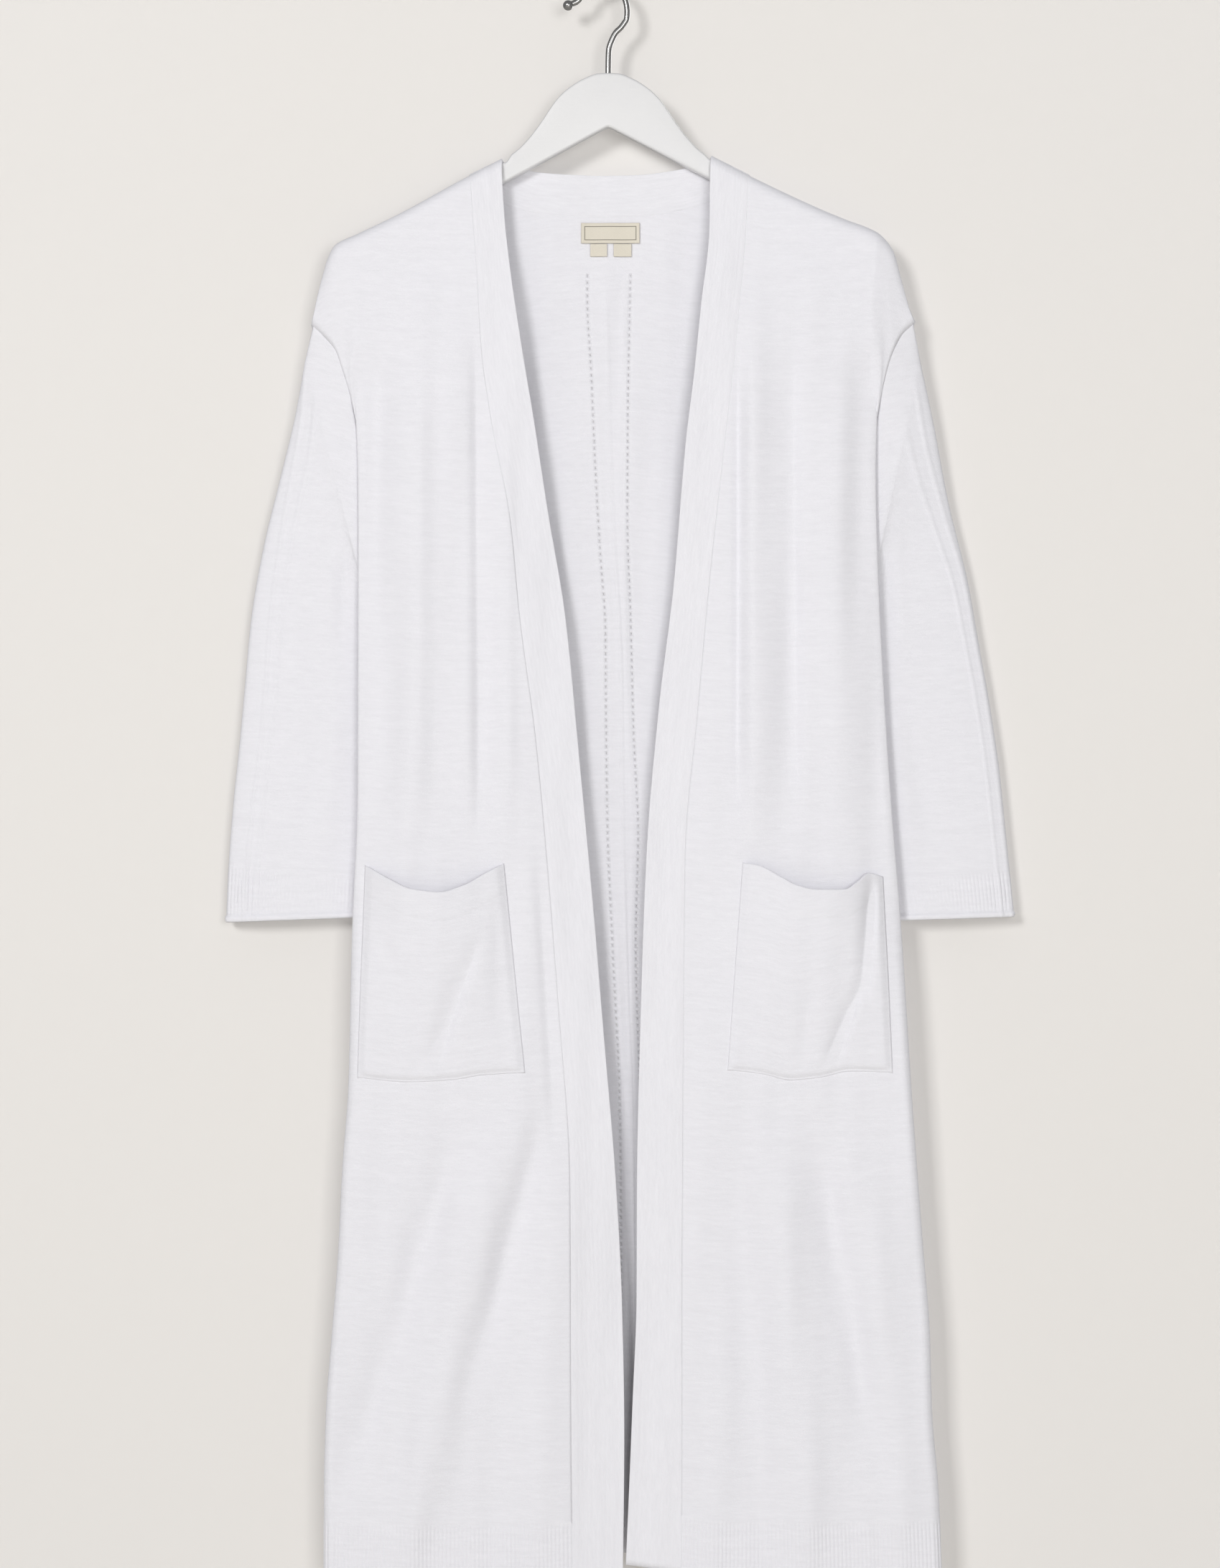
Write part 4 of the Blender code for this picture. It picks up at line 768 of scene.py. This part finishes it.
def armhole_ring(side, turn):
    """The ring where a sleeve starts: down the front half of the armhole seam and up the back half, just past
    the body's edge."""
    sign = SIGN[side]
    tip, under = SHOULDER[side]["drop"][-1], UNDERARM[side]
    drop = tip + (1.0 - np.cos(turn)) / 2 * (under - tip)
    in_front = 0.5 + 0.5 * np.clip(np.sin(turn) / np.sin(np.radians(20)), -1.0, 1.0)
    hidden = ease((drop - 0.315) / 0.03)
    front_y = read(ARMHOLE[side], "front", drop) + ARMHOLE_STEP + (LAP - ARMHOLE_STEP) * hidden
    back_y = read(ARMHOLE[side], "back", drop)
    reach = edge_reach(side, drop) - ARMHOLE_LAP * (1.0 - hidden) + 2 * SEAM * hidden
    reach = reach + 0.0016 * ease((drop - under + 0.03) / 0.03)
    return points(sign * reach, in_front * front_y + (1.0 - in_front) * back_y, drop + 2 * SEAM)


def sleeve_grid(side, rows_at, turn):
    """A sleeve: flat ovals from the armhole to the cuff, whose depth follows the sine of the turn to the
    power 0.7, with the wales' two ridges and a few slack creases on the front."""
    sign, rows = SIGN[side], SLEEVE[side]
    share = (1.0 - np.cos(turn)) / 2
    at = np.maximum(rows_at, 1.0)[:, None]
    outer, inner = read(rows, "outer", at), read(rows, "inner", at)
    outer_drop, inner_drop = read(rows, "outer_drop", at), read(rows, "inner_drop", at)
    round_out = np.sign(np.sin(turn)) * np.abs(np.sin(turn)) ** 0.7
    depth = read(rows, "middle", at) - read(rows, "half", at) * round_out
    facing = np.where(np.sin(turn) > 0, 1.0, 0.0)
    off = (share - read(WALES[side], "share", rows_at[:, None])) * (outer - inner)
    wales = np.exp(-((np.abs(off) - 0.0040) / 0.0013) ** 2) * ease((rows_at[:, None] - 0.6) / 0.8)
    slack = (0.0013 * np.exp(-((share - 0.46 - 0.02 * at) / 0.050) ** 2) * ease((at - 1.5) / 3.0)
             - 0.0010 * np.exp(-((share - 0.72 + 0.03 * at) / 0.060) ** 2) * ease((at - 1.2) / 2.5))
    pull = np.exp(-((share - 0.80 + 0.09 * (at - 1.0)) / 0.035) ** 2 - ((at - 2.2) / 1.2) ** 2) * 0.0016
    fade = ease((CUFF_ROW + 0.6 - at) / 2.0)
    depth = depth - facing * (0.0007 * wales + (slack - pull) * fade * np.sin(turn))
    ovals = points(sign * (outer + share * (inner - outer)), depth,
                   outer_drop + share * (inner_drop - outer_drop))
    grow = np.minimum(rows_at, 1.0)[:, None, None]
    return armhole_ring(side, turn)[None] * (1.0 - grow) + ovals * grow


def sleeve_turns():
    """Places round a sleeve: closer together where the wales run and at the two edges."""
    turn = np.linspace(0.0, 2 * np.pi, 2001)
    near = 1.0 + 2.6 * np.exp(-((turn - 0.78) / 0.34) ** 2) + 1.0 * np.exp(-((turn - np.pi) / 0.4) ** 2)
    walk = np.concatenate([[0.0], np.cumsum((near[1:] + near[:-1]) / 2)])
    return np.interp(np.linspace(0, walk[-1], 113), walk, turn)


for side in SIGN:
    turn = sleeve_turns()
    body_rows = np.concatenate([np.linspace(0.0, 1.0, 12)[:-1], np.linspace(1.0, CUFF_ROW, 118)])
    grid = sleeve_grid(side, body_rows, turn)
    fine = np.interp(np.linspace(0, len(turn) - 1, (len(turn) - 1) * 4 + 1), np.arange(len(turn)), turn)
    cuff_rows = np.concatenate([np.linspace(CUFF_ROW, 9.90, 11), np.linspace(9.90, 10.0, 8)[1:]])
    cuff = sleeve_grid(side, cuff_rows, fine)
    both_uv = across_and_down(grid), across_and_down(cuff)
    both_uv[0][..., 1] -= 0.045
    grown = ease((cuff_rows - CUFF_ROW) / 0.12) * ease((9.90 - cuff_rows) / 0.02)
    rolled = 0.0011 * np.sin(np.pi * np.clip((cuff_rows - 9.90) / 0.10, 0.0, 1.0)) ** 0.8
    lift = ribs(both_uv[1][..., 0], 0.00024, 0.0030) * grown[:, None] + rolled[:, None]
    cuff = cuff + normals(cuff) * (-SIGN[side] * lift)[..., None]
    cuff[:, -1] = cuff[:, 0]
    vertices, uv, faces = knit_layer(grid, both_uv[0], cuff, both_uv[1])
    piece = make_piece("knit_sleeve_" + side, vertices, faces, white_jersey, "sleeve_" + side, uv,
                       WALL)

# The patch pockets: rectangles of jersey sewn to the fronts along their sides and bottom. The mouth has a
# turned and stitched edge that sags open, and the bag falls in slack creases.
POCKET = {
    "right": table("drop inner outer", (0.700, -0.0789, -0.1885), (0.866, -0.0620, -0.1945)),
    "left": table("drop inner outer", (0.700, 0.1107, 0.2215), (0.866, 0.0985, 0.2290)),
}
MOUTH = {
    "right": table("share drop", (0.0, 0.6995), (0.14, 0.7075), (0.28, 0.7160), (0.46, 0.7215),
                   (0.66, 0.7190), (0.82, 0.7115), (1.0, 0.7010)),
    "left": table("share drop", (0.0, 0.6985), (0.12, 0.7010), (0.25, 0.7085), (0.38, 0.7160), (0.52, 0.7195),
                  (0.72, 0.7195), (0.82, 0.7130), (0.90, 0.7068), (1.0, 0.7100)),
}
BOTTOM = {
    "right": table("share drop", (0.0, 0.8650), (0.25, 0.8670), (0.45, 0.8710), (0.70, 0.8725),
                   (1.0, 0.8690)),
    "left": table("share drop", (0.0, 0.8630), (0.20, 0.8660), (0.38, 0.8710), (0.55, 0.8690), (0.75, 0.8640),
                  (1.0, 0.8650)),
}
PRESSED = 0.0006
POCKET_CLEAR = 0.0028
SLACK = {
    "right": table("top_across top_down low_across low_down left right height",
                   (0.20, 0.25, 0.56, 0.95, 0.045, 0.100, -0.0038),
                   (0.86, 0.20, 0.72, 0.75, 0.100, 0.080, -0.0016),
                   (0.05, 0.05, 0.16, 0.80, 0.060, 0.060, -0.0014)),
    "left": table("top_across top_down low_across low_down left right height",
                  (0.955, -0.05, 0.86, 0.62, 0.075, 0.022, -0.0062),
                  (0.86, 0.45, 0.62, 0.98, 0.065, 0.030, -0.0048),
                  (0.50, 0.40, 0.44, 0.95, 0.060, 0.070, -0.0014)),
}


def pocket_grid(side):
    """A pocket: at its sewn edges pressed to the front, between them swollen and open at the mouth, with
    slack creases that are bells across a slanting line. Its mouth's turned edge is a little thicker."""
    across = np.linspace(0.0, 1.0, 105)[None, :]
    down = np.linspace(0.0, 1.0, 121)[:, None]
    rows = POCKET[side]
    top, bottom = read(MOUTH[side], "drop", across), read(BOTTOM[side], "drop", across)
    drop = top + down * (bottom - top)
    inner = rows["inner"][0] + down * (rows["inner"][1] - rows["inner"][0])
    outer = rows["outer"][0] + down * (rows["outer"][1] - rows["outer"][0])
    x = inner + across * (outer - inner)
    swell = np.sin(np.pi * across)
    stand = 0.0115 * swell * (1.0 - down) ** 1.6 + 0.0030 * swell * np.sin(np.pi * down)
    for ta, td, la, ld, left, right, height in zip(*SLACK[side].values()):
        off = across - (ta + (la - ta) * (down - td) / (ld - td))
        grown = ease((down - td) / 0.25) * ease((ld + 0.06 - down) / 0.25) * ease(swell / 0.35)
        stand = stand + height * grown * np.exp(-(off / np.where(off < 0.0, left, right)) ** 2)
    into = drop - top
    turned = 0.0002 * ease((0.0225 - into) / 0.0012) - 0.0002 * np.exp(-((into - 0.0226) / 0.0009) ** 2)
    stitched = -0.0008 * np.exp(-((bottom - drop - 0.0020) / 0.0009) ** 2)
    stand = np.maximum(stand, 0.0) + (turned + stitched) * ease(swell / 0.12)
    width = np.abs(outer - inner)
    from_seam = np.minimum(np.minimum(across, 1.0 - across) * width, bottom - drop)
    clear = PRESSED + (POCKET_CLEAR - PRESSED) * ease(from_seam / 0.007)
    return points(x, front_depth(x, drop, side) - clear - stand, drop)


for side in SIGN:
    grid = pocket_grid(side)
    vertices, uv, faces = knit_layer(grid, across_and_down(grid))
    piece = make_piece("knit_pocket_" + side, vertices, faces, white_jersey, "pocket_" + side, uv,
                       WALL)

# The front band: one long strip of close rib, knitted double, sewn up the right front, round the back of the
# neck and down the left front. Its wales run along its whole length.
BAND_WALL = 0.0026
BAND_WALES = 12
BAND_COLUMNS = 61
BAND_RISE = 0.00005
BAND_LAP = 0.0012
SEAM_PRESSED = 0.0006


def band_grid(columns):
    """The band's three runs as one strip. Across it the share goes from the seam, where it laps the panels,
    to the free edge."""
    share = np.linspace(0.0, 1.0, columns)
    down = rows_down(1.110, 0.0050)
    runs = []
    for side in ("right", "left"):
        line = SHOULDER[side]
        seam_top = shoulder_drop(side, NECK_POINT[side])
        edge_top = line["drop"][0]
        seam_drop = seam_top + down * (hem_drop(side, BAND[side]["seam"][-1]) - seam_top)
        edge_drop = edge_top + down * (hem_drop(side, BAND[side]["edge"][-1]) - edge_top)
        seam, edge = read(BAND[side], "seam", seam_drop), read(BAND[side], "edge", edge_drop)
        settle = np.exp(-down * 1.11 / 0.006)
        seam, edge = seam + (NECK_POINT[side] - seam) * settle, edge + (line["x"][0] - edge) * settle
        keep = share - (1.0 - share) * (BAND_LAP / np.abs(edge - seam))[:, None]
        x = seam[:, None] + keep * (edge - seam)[:, None]
        drop = seam_drop[:, None] + share * (edge_drop - seam_drop)[:, None]
        depth = front_depth(x, drop, side)
        depth[0] = 0.0
        runs.append(points(x, depth, drop))
    at = np.concatenate([np.linspace(0.03, 1.0, 10), np.linspace(1.0, 9.0, 60)[1:-1],
                         np.linspace(9.0, 9.97, 10)])
    seam_x, seam_drop = read(NECK, "seam_x", at)[:, None], read(NECK, "seam_drop", at)[:, None]
    edge_x, edge_drop = read(NECK, "edge_x", at)[:, None], read(NECK, "edge_drop", at)[:, None]
    keep = share - (1.0 - share) * BAND_LAP / np.hypot(edge_x - seam_x, edge_drop - seam_drop)
    x = seam_x + keep * (edge_x - seam_x)
    drop = seam_drop + keep * (edge_drop - seam_drop)
    neck = points(x, back_depth(x, drop), drop)
    return np.concatenate([runs[0][::-1], neck, runs[1]])


def close_rib(name):
    """The band's knit: closer and smoother than the jersey, with hardly any slub."""
    return jersey(name, (0.836, 0.829, 0.868), (0.795, 0.788, 0.827), streaks=0.45)


grid = band_grid(BAND_COLUMNS)
uv = across_and_down(grid)[..., ::-1]
share = np.linspace(0, 1, BAND_COLUMNS)[None, :]
wave = ribs(share, BAND_RISE, 1.0 / BAND_WALES)
grid = grid + normals(grid) * wave[..., None]
grid[..., 1] += SEAM_PRESSED * np.exp(-(share / 0.06) ** 2)
vertices, uv, faces = knit_layer(grid, uv)
band_piece = make_piece("knit_band", vertices, faces, close_rib("band_knit"), "front_band", uv,
                        BAND_WALL)

# The woven label and two small tabs under it, sewn inside the back of the neck: satin tape with a plain woven
# frame line, and nothing written on it.
LABEL_WALL = 0.0010
PATCHES = {
    "label": (-0.0176, 0.0290, 0.1888, 0.2050),
    "label_tab_right": (-0.0103, 0.0030, 0.2055, 0.2155),
    "label_tab_left": (0.0083, 0.0225, 0.2055, 0.2155),
}


def patch_grid(left, right, top, bottom):
    """A small piece just before the back, evenly divided."""
    x = np.linspace(left, right, 61)[None, :]
    drop = np.linspace(top, bottom, 25)[:, None] + 0.0 * x
    return points(x, back_depth(x + 0.0 * drop, drop) - WALL / 2 - SEAM - LABEL_WALL, drop), x, drop


def satin_tape(name, width, height, framed):
    """Cream satin tape: a fine diagonal weave, and on the label a thin frame line 2.6 mm inside its edge."""
    tape = new_material(name, (0.71, 0.66, 0.56), 0.55)
    tape.node_tree.nodes["Principled BSDF"].inputs["Sheen Weight"].default_value = 0.1
    uv = add(tape, "ShaderNodeUVMap", {"uv_map": "yarn"}).outputs[0]
    split = add(tape, "ShaderNodeSeparateXYZ", Vector=uv)
    ends = []
    for axis, size in ((0, width), (1, height)):
        centred = add(tape, "ShaderNodeMath", {"operation": "SUBTRACT"}, n0=split.outputs[axis],
                      n1=size / 2).outputs[0]
        away = add(tape, "ShaderNodeMath", {"operation": "ABSOLUTE"}, n0=centred).outputs[0]
        ends.append(add(tape, "ShaderNodeMath", {"operation": "SUBTRACT"}, n0=size / 2, n1=away).outputs[0])
    edge = add(tape, "ShaderNodeMath", {"operation": "MINIMUM"}, n0=ends[0], n1=ends[1]).outputs[0]
    off = add(tape, "ShaderNodeMath", {"operation": "SUBTRACT"}, n0=edge, n1=0.0028).outputs[0]
    line = add(tape, "ShaderNodeMath", {"operation": "ABSOLUTE"}, n0=off).outputs[0]
    mask = add(tape, "ShaderNodeMapRange", Value=line, n1=0.00042, n2=0.00022, n3=0.0, n4=framed).outputs[0]
    thread = add(tape, "ShaderNodeMapping", Vector=uv, Scale=(700.0, 3200.0, 1.0)).outputs[0]
    weave = add(tape, "ShaderNodeTexNoise", Vector=thread, Scale=1.0, Detail=1.0).outputs["Fac"]
    ground = add(tape, "ShaderNodeMix", {"data_type": "RGBA"}, Factor=weave,
                 n6=(0.66, 0.61, 0.51, 1.0), n7=(0.75, 0.70, 0.60, 1.0)).outputs[2]
    colour = add(tape, "ShaderNodeMix", {"data_type": "RGBA"}, Factor=mask, n6=ground,
                 n7=(0.22, 0.20, 0.16, 1.0)).outputs[2]
    plug(tape, colour, "Base Color")
    bump = add(tape, "ShaderNodeBump", Height=weave, Strength=0.4, Distance=0.0002)
    plug(tape, bump.outputs[0], "Normal")
    return tape


for name, (left, right, top, bottom) in PATCHES.items():
    grid, x, drop = patch_grid(left, right, top, bottom)
    uv = np.stack(np.broadcast_arrays(x - left, drop - top), axis=-1)
    tape = satin_tape("tape_" + name, right - left, bottom - top, 1.0 if name == "label" else 0.0)
    vertices, uv, faces = knit_layer(grid, uv)
    piece = make_piece("woven_" + name, vertices, faces, tape, name, uv, LABEL_WALL)

# The studio: a pale cream wall close behind the garment and a plain pale floor, a large soft light from the
# upper left, weaker light from the right and behind, and the camera level with the middle of the garment.
WALL_AT = 0.0295


def plane(name, corners, colour, one_sided=False):
    """A flat backdrop with a plain matt finish."""
    mesh = bpy.data.meshes.new(name)
    mesh.from_pydata(corners, [], [(0, 1, 2, 3)])
    drop_cloth = bpy.data.objects.new(name, mesh)
    bpy.context.scene.collection.objects.link(drop_cloth)
    finish = new_material(name, colour, 0.95)
    mesh.materials.append(finish)
    if one_sided:
        tree = finish.node_tree
        behind = add(finish, "ShaderNodeNewGeometry").outputs["Backfacing"]
        clear = add(finish, "ShaderNodeBsdfTransparent").outputs[0]
        mixed = add(finish, "ShaderNodeMixShader", n0=behind, n1=tree.nodes["Principled BSDF"].outputs[0],
                    n2=clear).outputs[0]
        tree.links.new(mixed, tree.nodes["Material Output"].inputs["Surface"])
    return drop_cloth


wall = plane("backdrop",
             [(-4.0, WALL_AT, -1.60), (4.0, WALL_AT, -1.60), (4.0, WALL_AT, 2.2), (-4.0, WALL_AT, 2.2)],
             (0.801, 0.776, 0.751), one_sided=True)
for ray in ("diffuse", "glossy", "transmission", "shadow", "volume_scatter"):
    setattr(wall, "visible_" + ray, False)
plane("floor", [(-5.0, -5.0, -1.60), (5.0, -5.0, -1.60), (5.0, 5.0, -1.60), (-5.0, 5.0, -1.60)],
      (0.74, 0.72, 0.67))


def soft_light(name, place, aim, size, power):
    """A square white soft box at a place, turned towards a point."""
    data = bpy.data.lights.new(name, "AREA")
    data.size, data.energy = size, power
    lamp = bpy.data.objects.new(name, data)
    toward = np.array(aim) - np.array(place)
    lamp.location = place
    lamp.rotation_euler = Vector(toward).to_track_quat("-Z", "Y").to_euler()
    bpy.context.scene.collection.objects.link(lamp)


soft_light("key", (-2.3, -5.0, 1.0), (0.0, 0.0, -0.6), 1.3, 122.0)
soft_light("fill", (1.1, -4.6, -0.3), (0.1, 0.0, -0.7), 1.6, 58.0)
soft_light("behind", (1.4, 2.6, 0.4), (0.0, 0.0, -0.6), 1.8, 36.0)
world = bpy.data.worlds.new("studio")
bpy.context.scene.world = world
world.use_nodes = True
world.node_tree.nodes["Background"].inputs["Color"].default_value = (1.0, 1.0, 1.0, 1.0)
world.node_tree.nodes["Background"].inputs["Strength"].default_value = 0.350
bpy.context.scene.view_settings.view_transform = "Standard"

lens = bpy.data.cameras.new("camera")
lens.sensor_fit = "VERTICAL"
lens.sensor_height = 36.0
lens.lens = 36.0 * 3.0 / 1.2480
camera = bpy.data.objects.new("camera", lens)
camera.location = (0.0054, -3.0, -0.6365)
camera.rotation_euler = (np.pi / 2, 0.0, 0.0)
bpy.context.scene.collection.objects.link(camera)
bpy.context.scene.camera = camera
